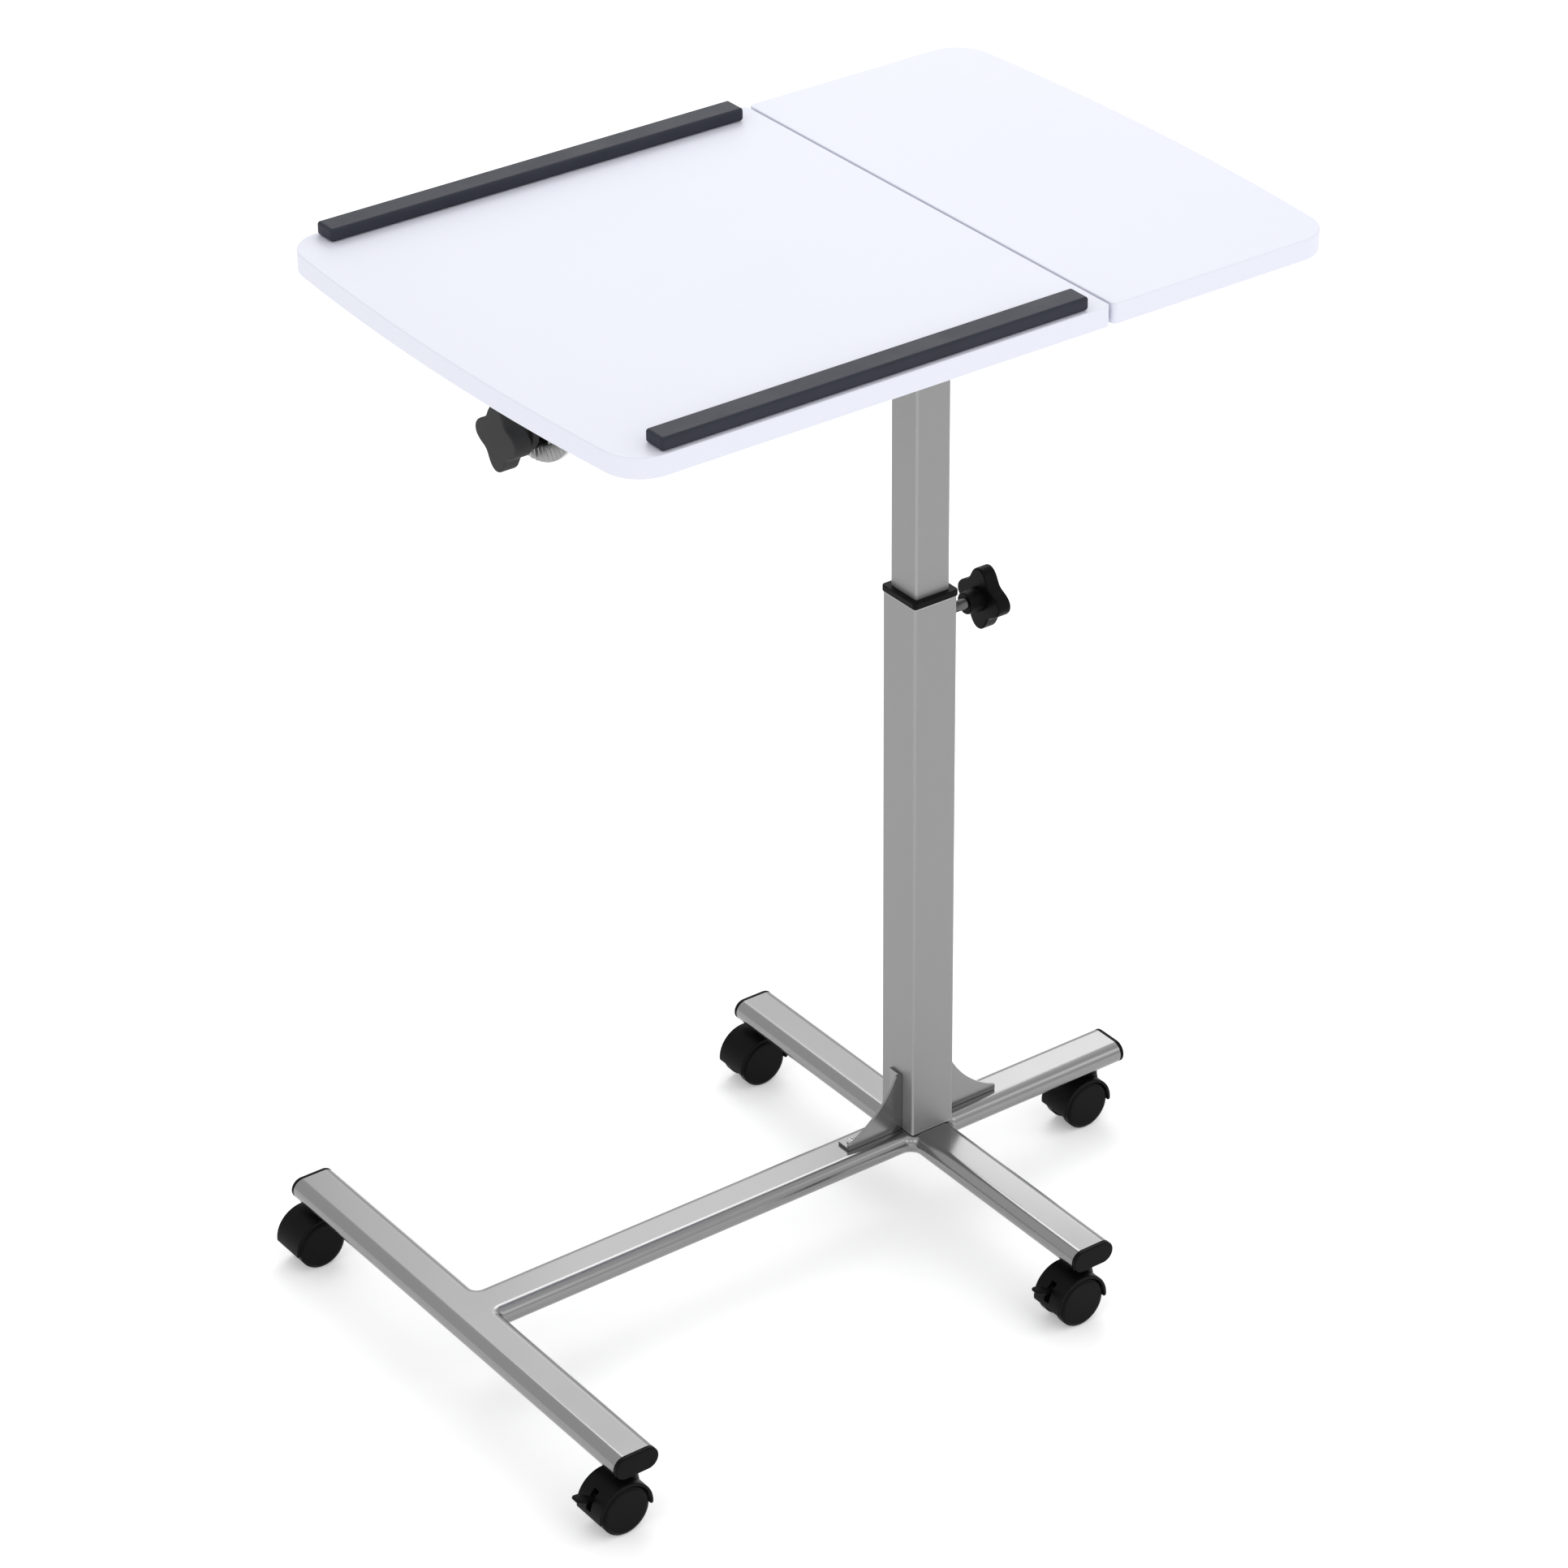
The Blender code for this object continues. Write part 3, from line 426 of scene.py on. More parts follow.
def painted_metal(name, colour, roughness, metallic, flake, peel, edge_highlight=1.0):
    """Silver powder coat: metal flake, faint orange peel, a little haze and a painted highlight along its
    edges.
    """
    nodes = Nodes(name)
    haze = nodes.noise(9, 3, 0.6)
    flakes = nodes.noise(2600, 1, 0.5)
    base = nodes.mix(nodes.spread(haze, 0, 1), tint(colour, 0.97), tint(colour, 1.03))
    bright = nodes.mix(nodes.spread(flakes, 0, 1, 0.35, 0.65), tint(colour, 1 - flake),
                       tint(colour, 1 + flake))
    colour_out = nodes.mix(0.5, base, bright)
    # Painted highlight: the colour is lightened along the edges, where lamps would glint on the rounding.
    if edge_highlight > 1:
        colour_out = nodes.mix(nodes.edges(0.0018), colour_out, tint(colour, edge_highlight))
    rough = nodes.spread(haze, roughness - 0.02, roughness + 0.03)
    nodes.bump([nodes.noise(420, 2, 0.5), nodes.noise(1800, 2, 0.6)], 0.00001, peel)
    nodes.set(Metallic=metallic, Base_Color=colour_out, Roughness=rough)
    return nodes.material


def bare_metal(name, colour, roughness, grain=(1, 1, 1), groove_shade=0.0):
    """Plated or bare steel with a directional grain, and painted shade in its grooves if asked."""
    nodes = Nodes(name)
    streaks = nodes.noise(900, 3, 0.6, grain)
    cloud = nodes.noise(60, 3, 0.6)
    colour_out = nodes.mix(nodes.spread(cloud, 0, 1), tint(colour, 0.9), tint(colour, 1.06))
    if groove_shade:
        # Painted shade: the bottoms of grooves are darkened by their ambient occlusion.
        colour_out = nodes.mix(nodes.hollows(0.0015), colour_out, tint(colour, 1 - groove_shade))
    nodes.bump([streaks], 0.00002, 0.4)
    rough = nodes.spread(cloud, roughness - 0.04, roughness + 0.08)
    nodes.set(Metallic=1.0, Base_Color=colour_out, Roughness=rough)
    return nodes.material


def moulded_plastic(name, colour, roughness, specular, grain=1500, depth=0.00002):
    """Moulded plastic: spark-eroded grain, slight flow marks and a painted highlight along its edges."""
    nodes = Nodes(name)
    grains = nodes.noise(grain, 2, 0.6)
    flow = nodes.noise(30, 3, 0.55)
    # Painted highlight: the colour is lightened along the edges, where light would glint on the rounding.
    edge = nodes.edges(0.0008)
    body = nodes.mix(nodes.spread(flow, 0, 1), tint(colour, 0.88), tint(colour, 1.12))
    colour_out = nodes.mix(edge, body, tint(colour, 1.45))
    nodes.bump([grains], depth, 0.5)
    nodes.set(Base_Color=colour_out, Roughness=nodes.spread(flow, roughness - 0.04, roughness + 0.04),
              Specular_IOR_Level=specular)
    return nodes.material


def laminate(name, colour):
    """White melamine faced board: faint pearl texture and very slight clouding."""
    nodes = Nodes(name)
    cloud = nodes.noise(5, 3, 0.6)
    pearl = nodes.noise(700, 2, 0.5)
    base = nodes.mix(nodes.spread(cloud, 0, 1), tint(colour, 0.992), tint(colour, 1.004))
    fleck = nodes.mix(nodes.spread(pearl, 0, 1, 0.25, 0.75), tint(colour, 0.985), tint(colour, 1.01))
    nodes.bump([pearl], 0.00001, 0.3)
    nodes.set(Base_Color=nodes.mix(0.4, base, fleck), Roughness=nodes.spread(cloud, 0.42, 0.50),
              Specular_IOR_Level=0.35)
    return nodes.material


SATIN = painted_metal("satin_steel", (0.26, 0.26, 0.26), 0.18, 0.95, 0.03, 0.12)
# The column paint: its last argument lightens its edges, a painted highlight.
SILVER = painted_metal("silver_paint", (0.268, 0.268, 0.268), 0.42, 0.6, 0.06, 0.35, 2)
BRIGHT = bare_metal("bright_steel", (0.62, 0.62, 0.62), 0.28)
# Teeth: a darker copy of bright steel with painted shade in the tooth grooves.
TOOTHED = bare_metal("toothed_steel", (0.36, 0.36, 0.36), 0.26, groove_shade=0.97)
ZINC = bare_metal("zinc_screw", (0.55, 0.55, 0.56), 0.32)
# Stud thread: a darker copy of the zinc screw steel with painted shade between its ridges.
THREAD = bare_metal("threaded_steel", (0.2, 0.2, 0.2), 0.34, groove_shade=0.9)
DARK = bare_metal("dark_steel", (0.05, 0.05, 0.05), 0.45)
BLACK = moulded_plastic("black_plastic", (0.003, 0.003, 0.003), 0.42, 0.07)
KNOB = moulded_plastic("knob_plastic", (0.034, 0.034, 0.034), 0.6, 0.12, 1100)
SLATE = moulded_plastic("slate_plastic", (0.022, 0.0245, 0.037), 0.5, 0.2, 1300)
WHITE = laminate("white_laminate", (0.706, 0.720, 0.804))

MATERIALS = {"satin_steel": SATIN, "silver_paint": SILVER, "bright_steel": BRIGHT, "zinc_screw": ZINC,
             "dark_steel": DARK, "black_plastic": BLACK, "knob_plastic": KNOB, "slate_plastic": SLATE,
             "white_laminate": WHITE}


# ---------------------------------------------------------------- base

def inflated(name, outline, radius, z):
    """A slab with half-round sides about a plan outline given counter-clockwise."""
    count = len(outline)
    inward = []
    for index in range(count):
        here = Vector(outline[index])
        before = (here - Vector(outline[index - 1])).normalized()
        after = (Vector(outline[(index + 1) % count]) - here).normalized()
        normal = Vector((-before.y - after.y, before.x + after.x)).normalized()
        inward.append(normal / max(0.3, normal.dot(Vector((-after.y, after.x)))))
    shape = bmesh.new()
    loops = []
    for step in range(-TUBE_STEPS, TUBE_STEPS + 1):
        angle = math.pi / 2 * step / TUBE_STEPS
        depth = radius * (1 - math.cos(angle))
        loop = []
        for (x, y), normal in zip(outline, inward):
            place = (x + normal.x * depth, y + normal.y * depth, z + radius * math.sin(angle))
            loop.append(shape.verts.new(place))
        loops.append(loop)
    for lower, upper in zip(loops, loops[1:]):
        for index in range(count):
            following = (index + 1) % count
            shape.faces.new((lower[index], lower[following], upper[following], upper[index]))
    shape.faces.new(loops[-1])
    shape.faces.new(list(reversed(loops[0])))
    shape.normal_update()
    bmesh.ops.triangulate(shape, faces=[face for face in shape.faces if len(face.verts) > 4])
    bmesh.ops.recalc_face_normals(shape, faces=shape.faces)
    mesh = bpy.data.meshes.new(name)
    shape.to_mesh(mesh)
    shape.free()
    return new_object(name, mesh)


def trim(piece, point, normal):
    """Cuts a piece flat and closes the cut."""
    shape = bmesh.new()
    shape.from_mesh(piece.data)
    everything = shape.verts[:] + shape.edges[:] + shape.faces[:]
    result = bmesh.ops.bisect_plane(shape, geom=everything, plane_co=point, plane_no=normal, clear_outer=True)
    rim = [item for item in result["geom_cut"] if isinstance(item, bmesh.types.BMEdge)]
    bmesh.ops.edgeloop_fill(shape, edges=rim)
    bmesh.ops.recalc_face_normals(shape, faces=shape.faces)
    shape.to_mesh(piece.data)
    shape.free()


def build_tube_frame():
    """The four welded oval tubes as one skin, with weld fillets in their inner corners."""
    left, left_size = centre_and_size("left_crossbar")
    beam_low, beam_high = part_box("main_beam")
    front_low, front_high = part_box("front_crossbar")
    back_low, back_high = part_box("back_crossbar")
    cross_x = (front_low.x + front_high.x) / 2
    half = left_size.x / 2
    radius = left_size.z / 2
    spare = 3 * radius
    left_x = left.x
    weld = WELD_FILLET
    corners = [
        (left_x - half, -left_size.y / 2 - spare, 0), (left_x + half, -left_size.y / 2 - spare, 0),
        (left_x + half, -half, 1 * MM), (cross_x - half, -half, weld),
        (cross_x - half, front_low.y - spare, 0), (cross_x + half, front_low.y - spare, 0),
        (cross_x + half, -half, weld), (beam_high.x + spare, -half, 0),
        (beam_high.x + spare, half, 0), (cross_x + half, half, weld),
        (cross_x + half, back_high.y + spare, 0), (cross_x - half, back_high.y + spare, 0),
        (cross_x - half, half, weld), (left_x + half, half, 0.7 * weld),
        (left_x + half, left_size.y / 2 + spare, 0), (left_x - half, left_size.y / 2 + spare, 0)]
    piece = inflated("tube_frame", soften(corners, 10), radius, left.z)
    trim(piece, (0, -left_size.y / 2, 0), (0, -1, 0))
    trim(piece, (0, left_size.y / 2, 0), (0, 1, 0))
    trim(piece, (beam_high.x, 0, 0), (1, 0, 0))
    show(piece, SATIN, "satin_steel", "base", "main_beam", "left_crossbar", "front_crossbar", "back_crossbar")


def build_end_cap(node, along):
    """A moulded oval plug: a cover with a soft edge and a spigot inside the tube."""
    centre, size = centre_and_size(node)
    across = size.y if along == "x" else size.x
    deep = size.x if along == "x" else size.y
    outward = 1 if (centre.x if along == "x" else centre.y) > 0 else -1
    turn = ALONG_X if along == "x" else ALONG_Y
    ahead = Vector((outward, 0, 0)) if along == "x" else Vector((0, outward, 0))
    piece = plate(node + "_cover", [oval(across, size.z)], CAP_THICK,
                  placed(centre + ahead * (deep - CAP_THICK) / 2, turn), 0.9 * MM)
    spigot = deep - CAP_THICK + OVERLAP
    inset = 3.6 * MM
    plug = plate("spigot", [oval(across - inset, size.z - inset)], spigot,
                 placed(centre - ahead * (deep - spigot) / 2, turn), 0.4 * MM)
    unite(piece, plug)
    show(piece, BLACK, "black_plastic", "base", node)


def build_gusset(node, side):
    """An angle bracket with a hollow-edged web, pressed from one sheet."""
    low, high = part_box(node)
    leg = high.x - low.x
    rise = high.z - low.z
    thick = 2 * MM
    centre = 80 * MM
    radius = 82 * MM
    start = 180 + math.degrees(math.acos((centre - leg) / radius))
    end = 180 + math.degrees(math.asin((centre - rise) / radius))
    outline = [(0, 0), (leg, 0)] + arc((centre, centre), radius, start, end, 24) + [(0, rise)]
    corner_x = high.x if side < 0 else low.x
    outline = [(corner_x + side * x, low.z + z) for x, z in outline]
    middle_y = (low.y + high.y) / 2
    bracket = plate(node + "_bracket", [outline], high.y - low.y, placed((0, middle_y, 0), ALONG_Y))
    room = leg + rise
    inside = (corner_x + side * (thick + room / 2), middle_y + thick, low.z + thick + room / 2)
    pocket = rounded_box("pocket", (room, high.y - low.y, room), placed(inside), 0)
    carve(bracket, pocket)
    (screw_low, screw_high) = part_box(node + "_screw")
    screw_x = (screw_low.x + screw_high.x) / 2
    carve(bracket, lathe("screw_hole", [(0, 5 * MM), (2.3 * MM, 5 * MM), (2.3 * MM, -5 * MM), (0, -5 * MM)],
                         placed((screw_x, 0, low.z)), 24))
    soft_edges(bracket, 0.45 * MM)
    show(bracket, SATIN, "satin_steel", "base", node)


def cross_recess(centre, depth, size, matrix):
    """Cutter for a cross-head screw's recess."""
    slim = size * 0.22
    round_off = size * 0.05
    seat = matrix @ placed(centre)
    arm = plate("recess", [rounded_rectangle(size, slim, round_off, 2)], depth * 2, seat)
    other = plate("recess_arm", [rounded_rectangle(slim, size, round_off, 2)], depth * 2, seat)
    unite(arm, other)
    return arm


def build_screw(node, body, up):
    """A pan-head screw with a cross recess and a plain shank."""
    low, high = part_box(node)
    radius = (high.x - low.x) / 2
    head = 2.2 * MM
    length = high.z - low.z - head
    shank = 2 * MM
    profile = [(0, head), (radius * 0.55, head * 0.97), (radius * 0.9, head * 0.62), (radius, head * 0.2),
               (radius, 0), (shank, 0), (shank, -length), (0, -length)]
    seat = high.z - head if up else low.z + head
    turn = ALONG_Z if up else Matrix.Rotation(math.pi, 4, "X")
    place = placed(((low.x + high.x) / 2, (low.y + high.y) / 2, seat), turn)
    piece = lathe(node + "_turned", soft_profile(profile, 0.4 * MM), place, 40)
    carve(piece, cross_recess((0, 0, head), 1.1 * MM, radius * 1.1, place))
    show(piece, ZINC, "zinc_screw", body, node)


def build_outer_column():
    centre, size = centre_and_size("outer_column")
    outer = rounded_rectangle(size.x, size.y, 1.8 * MM)
    inner = rounded_rectangle(size.x - 3 * MM, size.y - 3 * MM, 1 * MM)
    piece = plate("outer_column_tube", [outer, inner], size.z, placed(centre), 0.3 * MM, 2)
    knob, knob_size = centre_and_size("column_knob_stud")
    hole = lathe("stud_hole", [(0, 6 * MM), (4.4 * MM, 6 * MM), (4.4 * MM, -6 * MM), (0, -6 * MM)],
                 placed((centre.x + size.x / 2, 0, knob.z), ALONG_X))
    carve(piece, hole)
    show(piece, SILVER, "silver_paint", "base", "outer_column")


def build_collar():
    low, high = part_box("column_collar")
    side = high.x - low.x
    flange = 5 * MM
    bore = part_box("inner_column")[1].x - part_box("inner_column")[0].x + 0.6 * MM
    centre_x = (low.x + high.x) / 2
    piece = plate("column_collar_ring", [rounded_rectangle(side, side, 3 * MM)], flange,
                  placed((centre_x, 0, high.z - flange / 2)), 0.8 * MM)
    depth = high.z - low.z - flange
    spigot = side - 5.8 * MM
    sleeve = plate("collar_sleeve", [rounded_rectangle(spigot, spigot, 1 * MM)], depth + 1 * MM,
                   placed((centre_x, 0, low.z + (depth + 1 * MM) / 2)))
    unite(piece, sleeve)
    carve(piece, plate("collar_bore", [rounded_rectangle(bore, bore, 2 * MM)], 4 * depth,
                       placed((centre_x, 0, high.z))))
    soft_edges(piece, 0.3 * MM, 2)
    show(piece, BLACK, "black_plastic", "base", "column_collar")


# ---------------------------------------------------------------- casters

def build_caster(name):
    """Twin-wheel caster: round hood, two flush discs and, where fitted, a brake lever."""
    body_low, body_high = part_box(name + "_body")
    wheel, wheel_size = centre_and_size(name + "_wheel_front")
    back_wheel, back_size = centre_and_size(name + "_wheel_back")
    stem, stem_size = centre_and_size(name + "_stem")
    axle = Vector((wheel.x, (wheel.y + back_wheel.y) / 2, wheel.z))
    half_width = (body_high.y - body_low.y) / 2
    wheel_radius = wheel_size.z / 2
    hood_radius = wheel_radius + HOOD_LIP
    hood = plate(name + "_hood", [hood_outline(hood_radius)], 2 * half_width, placed(axle, ALONG_Y),
                 HOOD_EDGE, 4)
    neck_top = body_high.z
    neck_foot = neck_top - 16 * MM
    sides = [(0, neck_top), (NECK_RADIUS, neck_top), (NECK_RADIUS, neck_top - 6 * MM),
             (NECK_FOOT_RADIUS, neck_foot), (0, neck_foot)]
    neck = lathe(name + "_neck", soft_profile(sides, 1 * MM), placed((stem.x, stem.y, 0)))
    unite(hood, neck)
    bore_radius = STEM_RADIUS + CLEARANCE
    bore_top = 48 * MM
    bore = [(0, bore_top), (bore_radius, bore_top), (bore_radius, STEM_BORE_FLOOR), (0, STEM_BORE_FLOOR)]
    carve(hood, lathe(name + "_bore", bore, placed((stem.x, stem.y, 0)), 24))
    gap_radius = wheel_radius + HOOD_GAP
    for side in (-1, 1):
        room = half_width - HOOD_WEB_HALF + 2 * MM
        drum = [(0, room / 2), (gap_radius, room / 2), (gap_radius, -room / 2), (0, -room / 2)]
        offset = Vector((0, side * (HOOD_WEB_HALF + room / 2), 0))
        carve(hood, lathe(name + "_space", drum, placed(axle + offset, ALONG_Y), 96))
    stub = half_width - 2 * MM
    pin = [(0, stub), (AXLE_RADIUS, stub), (AXLE_RADIUS, -stub), (0, -stub)]
    unite(hood, lathe(name + "_axle", pin, placed(axle, ALONG_Y), 24))
    levered = name + "_brake_lever" in frame["nodes"]
    if levered:
        carve_lever_slot(hood, name, axle)
    show(hood, BLACK, "black_plastic", name, name + "_body")

    for place, side, end in ((wheel, -1, "_wheel_front"), (back_wheel, 1, "_wheel_back")):
        build_wheel(name + end, place, side, wheel_radius, wheel_size.y)
    stem_piece(name, stem)
    if levered:
        build_lever(name, axle)


def hood_outline(radius):
    """Side view of a hood about its axle: a round shell with rounded lips and a small web below."""
    inside = radius - 2.6 * MM
    first = -6
    last = 187
    corners = [(*polar(radius, first), 0.9 * MM)]
    corners += [(x, y, 0) for x, y in arc((0, 0), radius, first + 6, last - 6, 60)]
    corners += [(*polar(radius, last), 0.9 * MM), (*polar(inside, last), 0)]
    corners += [(x, y, 0) for x, y in arc((0, 0), radius - 9 * MM, 205, 335, 12)]
    corners.append((*polar(inside, first), 0))
    return soften(corners, 5)


def carve_lever_slot(hood, name, axle):
    """The narrow slot the brake lever's root rocks in, open above and below the root."""
    low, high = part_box(name + "_body")
    width = 5.4 * MM
    bottom = 2.4 * MM
    top = 16.6 * MM
    inner = 8.5 * MM
    outer = axle.x - low.x + 1 * MM
    slot = rounded_box(name + "_slot", (outer - inner, width, top - bottom),
                       placed(axle - Vector(((outer + inner) / 2, 0, -(top + bottom) / 2))), 0.5 * MM)
    carve(hood, slot)


def build_wheel(name, centre, side, radius, width):
    """A smooth disc wheel with a soft rim, hollow towards the caster's web."""
    half = width / 2
    bore = AXLE_RADIUS + CLEARANCE
    inside = half - 2.6 * MM
    seat = half - 1.7 * MM
    profile = [(0, half), (radius - 2.6 * MM, half), (radius, half - 1.5 * MM), (radius, -half + 0.8 * MM),
               (radius - 1.5 * MM, -half), (radius - 3.2 * MM, -half), (radius - 3.2 * MM, inside),
               (7 * MM, inside), (6 * MM, -half), (bore, -half), (bore, seat), (0, seat)]
    turn = Matrix.Rotation(-side * math.pi / 2, 4, "X")
    piece = lathe(name + "_disc", soft_profile(profile, 1.1 * MM, 5), placed(centre, turn), 96)
    show(piece, BLACK, "black_plastic", name, name)


def stem_piece(name, centre):
    low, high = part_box(name + "_stem")
    collar = (high.x - low.x) / 2
    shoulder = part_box("left_crossbar")[0].z - CLEARANCE
    neck_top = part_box(name + "_body")[1].z
    foot = neck_top + CLEARANCE
    profile = [(0, high.z), (STEM_RADIUS, high.z), (STEM_RADIUS, shoulder), (collar, shoulder),
               (collar, foot), (STEM_RADIUS, foot), (STEM_RADIUS, low.z), (0, low.z)]
    piece = lathe(name + "_stem_pin", soft_profile(profile, 0.4 * MM), placed((centre.x, centre.y, 0)), 40)
    show(piece, DARK, "dark_steel", "base", name + "_stem")


def build_lever(name, axle):
    """A brake lever: a narrow root on its pin and a broad leaf for the toe, rising outwards."""
    pivot = axle + Vector((-14.5 * MM, 0, 9 * MM))
    root_half = 2.4 * MM
    thick = 2.6 * MM
    start = Vector((-4 * MM, 0, 2.2 * MM))
    rise = math.radians(22)
    root = [(0, root_half), (3.4 * MM, root_half), (3.4 * MM, -root_half), (0, -root_half)]
    lever = lathe(name + "_lever_root", soft_profile(root, 0.4 * MM), placed(pivot, ALONG_Y), 40)
    arm = [(0, -thick / 2), (0, thick), (start.x, start.z + thick / 2 - 0.1 * MM),
           (start.x, start.z - thick / 2 + 0.1 * MM)]
    arm_width = 2 * root_half - 0.2 * MM
    unite(lever, plate(name + "_lever_arm", [arm], arm_width, placed(pivot, ALONG_Y), 0.3 * MM))
    tip = -15.1 * MM
    half = 5.8 * MM
    corners = [(thick, root_half, 0), (thick, -root_half, 0), (0.1 * tip, -root_half, 1.5 * MM),
               (0.55 * tip, -half, 3 * MM), (tip, -0.62 * half, 2 * MM), (tip, 0.62 * half, 2 * MM),
               (0.55 * tip, half, 3 * MM), (0.1 * tip, root_half, 1.5 * MM)]
    leaf = plate(name + "_lever_leaf", [soften(list(reversed(corners)), 6)], thick,
                 placed(pivot + start, Matrix.Rotation(rise, 4, "Y")), 1 * MM, 5)
    unite(lever, leaf)
    show(lever, BLACK, "black_plastic", name + "_brake", name + "_brake_lever")


# ---------------------------------------------------------------- knobs

def knob_outline(reach, steps=28):
    """Four broad lobes with hollow waists between them."""
    waist = 0.697 * reach
    middle = (reach + waist) / 2
    swing = (reach - waist) / 2
    points = []
    for step in range(4 * steps):
        angle = 2 * math.pi * step / (4 * steps)
        radius = middle + swing * math.cos(4 * angle)
        points.append((radius * math.cos(angle), radius * math.sin(angle)))
    return points


def build_knob(name, node, body, material, slot, outward, boss_length, boss_radius):
    """A four-lobed clamp knob with a boss towards the clamp and a blind socket for the stud through the boss.
    """
    low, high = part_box(node)
    thick = high.x - low.x - boss_length
    face = high.x if outward > 0 else low.x
    centre = Vector((face - outward * thick / 2, 0, (low.z + high.z) / 2))
    outline = knob_outline((high.z - low.z) / 2)
    piece = plate(name, [outline], thick, placed(centre, ALONG_X), 1.3 * MM, 5)
    rear = face - outward * thick
    turn = ALONG_X if outward < 0 else ALONG_X @ Matrix.Rotation(math.pi, 4, "X")
    sides = [(0, boss_length), (boss_radius, boss_length), (boss_radius + 1.2 * MM, -1 * MM), (0, -1 * MM)]
    unite(piece, lathe(name + "_boss", soft_profile(sides, 0.8 * MM), placed((rear, 0, centre.z), turn)))
    depth = boss_length + thick - 5 * MM
    inward = ALONG_X if outward > 0 else ALONG_X @ Matrix.Rotation(math.pi, 4, "X")
    socket = lathe(name + "_socket", [(0, depth), (4.4 * MM, depth), (4.4 * MM, -1 * MM), (0, -1 * MM)],
                   placed((rear - outward * boss_length, 0, centre.z), inward), 32)
    carve(piece, socket)
    show(piece, material, slot, body, node)


def threaded(name, radius, start, end, pitch, matrix, steps=32):
    """A stud whose thread is a row of ridges."""
    ridge = 0.35 * MM
    profile = [(0, end), (radius - 0.8 * MM, end)]
    count = int((end - start) / pitch)
    for index in range(count):
        top = end - index * pitch
        profile += [(radius - ridge * 1.6, top - 0.1 * pitch), (radius, top - 0.5 * pitch)]
    profile += [(radius - 0.8 * MM, start), (0, start)]
    return lathe(name, profile, matrix, steps)


def build_column_knob():
    build_knob("column_knob_grip", "column_knob", "column_knob", BLACK, "black_plastic", 1, 12 * MM, 8 * MM)
    low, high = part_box("column_knob_stud")
    length = high.x - low.x
    stud = threaded("column_stud_thread", (high.z - low.z) / 2, 0, length, 1.25 * MM,
                    placed((low.x, 0, (low.z + high.z) / 2), ALONG_X))
    show(stud, THREAD, "zinc_screw", "column_stud", "column_knob_stud", angle=60)


def build_tilt_clamp():
    build_knob("tilt_knob_grip", "tilt_knob", "tilt_knob", KNOB, "knob_plastic", -1, 7 * MM, 10 * MM)
    low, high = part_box("clamp_bush")
    z = (low.z + high.z) / 2
    flange_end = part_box("tilt_quadrant")[0].x - 0.3 * MM - low.x
    length = high.x - low.x
    radius = (high.z - low.z) / 2
    section = [(4.4 * MM, length), (7.9 * MM, length), (7.9 * MM, flange_end), (radius, flange_end),
               (radius, 0), (4.4 * MM, 0)]
    ring = soft_profile(section, 0.7 * MM) + [section[0]]
    bush = lathe("clamp_bush_ring", ring, placed((low.x, 0, z), ALONG_X))
    show(bush, KNOB, "knob_plastic", "clamp_bush", "clamp_bush")

    low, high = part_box("clamp_bolt")
    head = 5 * MM
    head_radius = (high.z - low.z) / 2
    shank = high.x - low.x - head + 1 * MM
    bolt = threaded("clamp_bolt_thread", 4 * MM, 0, shank, 1.25 * MM, placed((low.x, 0, z), ALONG_X))
    sides = [(0, head), (head_radius * 0.7, head * 0.85), (head_radius, head * 0.25), (head_radius, 0),
             (0, 0)]
    dome = lathe("bolt_head", soft_profile(sides, 0.5 * MM), placed((high.x - head, 0, z), ALONG_X))
    unite(bolt, dome)
    show(bolt, ZINC, "zinc_screw", "lift", "clamp_bolt", angle=60)


# ---------------------------------------------------------------- sliding part

def build_lift():
    centre, size = centre_and_size("inner_column")
    piece = plate("inner_column_tube", [rounded_rectangle(size.x, size.y, 1.6 * MM),
                                        rounded_rectangle(size.x - 3 * MM, size.y - 3 * MM, 1 * MM)],
                  size.z, placed(centre), 0.3 * MM, 2)
    tube_low, tube_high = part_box("pivot_tube")
    radius = (tube_high.z - tube_low.z) / 2
    z = (tube_low.z + tube_high.z) / 2
    room = lathe("pivot_room", [(0, 0.1), (radius + 0.3 * MM, 0.1), (radius + 0.3 * MM, -0.1), (0, -0.1)],
                 placed((centre.x, 0, z), ALONG_X), 64)
    carve(piece, room)
    show(piece, SILVER, "silver_paint", "lift", "inner_column")

    length = tube_high.x - tube_low.x
    section = [(radius - 2 * MM, length), (radius, length), (radius, 0), (radius - 2 * MM, 0)]
    ring = closed_ring(soft_profile(section, 0.3 * MM))
    tube = lathe("pivot_tube_skin", ring, placed((tube_low.x, 0, z), ALONG_X), 64)
    show(tube, SATIN, "satin_steel", "lift", "pivot_tube")

    low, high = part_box("pivot_tube_cap")
    rim = 2.7 * MM
    plug = radius - 2.3 * MM
    profile = [(0, high.x), (radius * 0.7, high.x - 0.2 * MM), (radius, high.x - 1 * MM),
               (radius, high.x - rim), (plug, high.x - rim), (plug, low.x), (0, low.x)]
    cap = lathe("pivot_tube_end", soft_profile(profile, 0.6 * MM), placed((0, 0, z), ALONG_X))
    show(cap, BLACK, "black_plastic", "lift", "pivot_tube_cap")

    low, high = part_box("clamp_link")
    link_radius = (high.y - low.y) / 2
    bolt_z = low.z + link_radius
    outline = arc((0, high.z - link_radius), link_radius, 0, 180, 28)
    outline += arc((0, bolt_z), link_radius, 180, 360, 28)
    link = plate("clamp_link_plate", [outline, circle((0, bolt_z), 4.4 * MM, 32)], high.x - low.x,
                 placed(((low.x + high.x) / 2, 0, 0), ALONG_X), 0.5 * MM)
    show(link, SATIN, "satin_steel", "lift", "clamp_link")


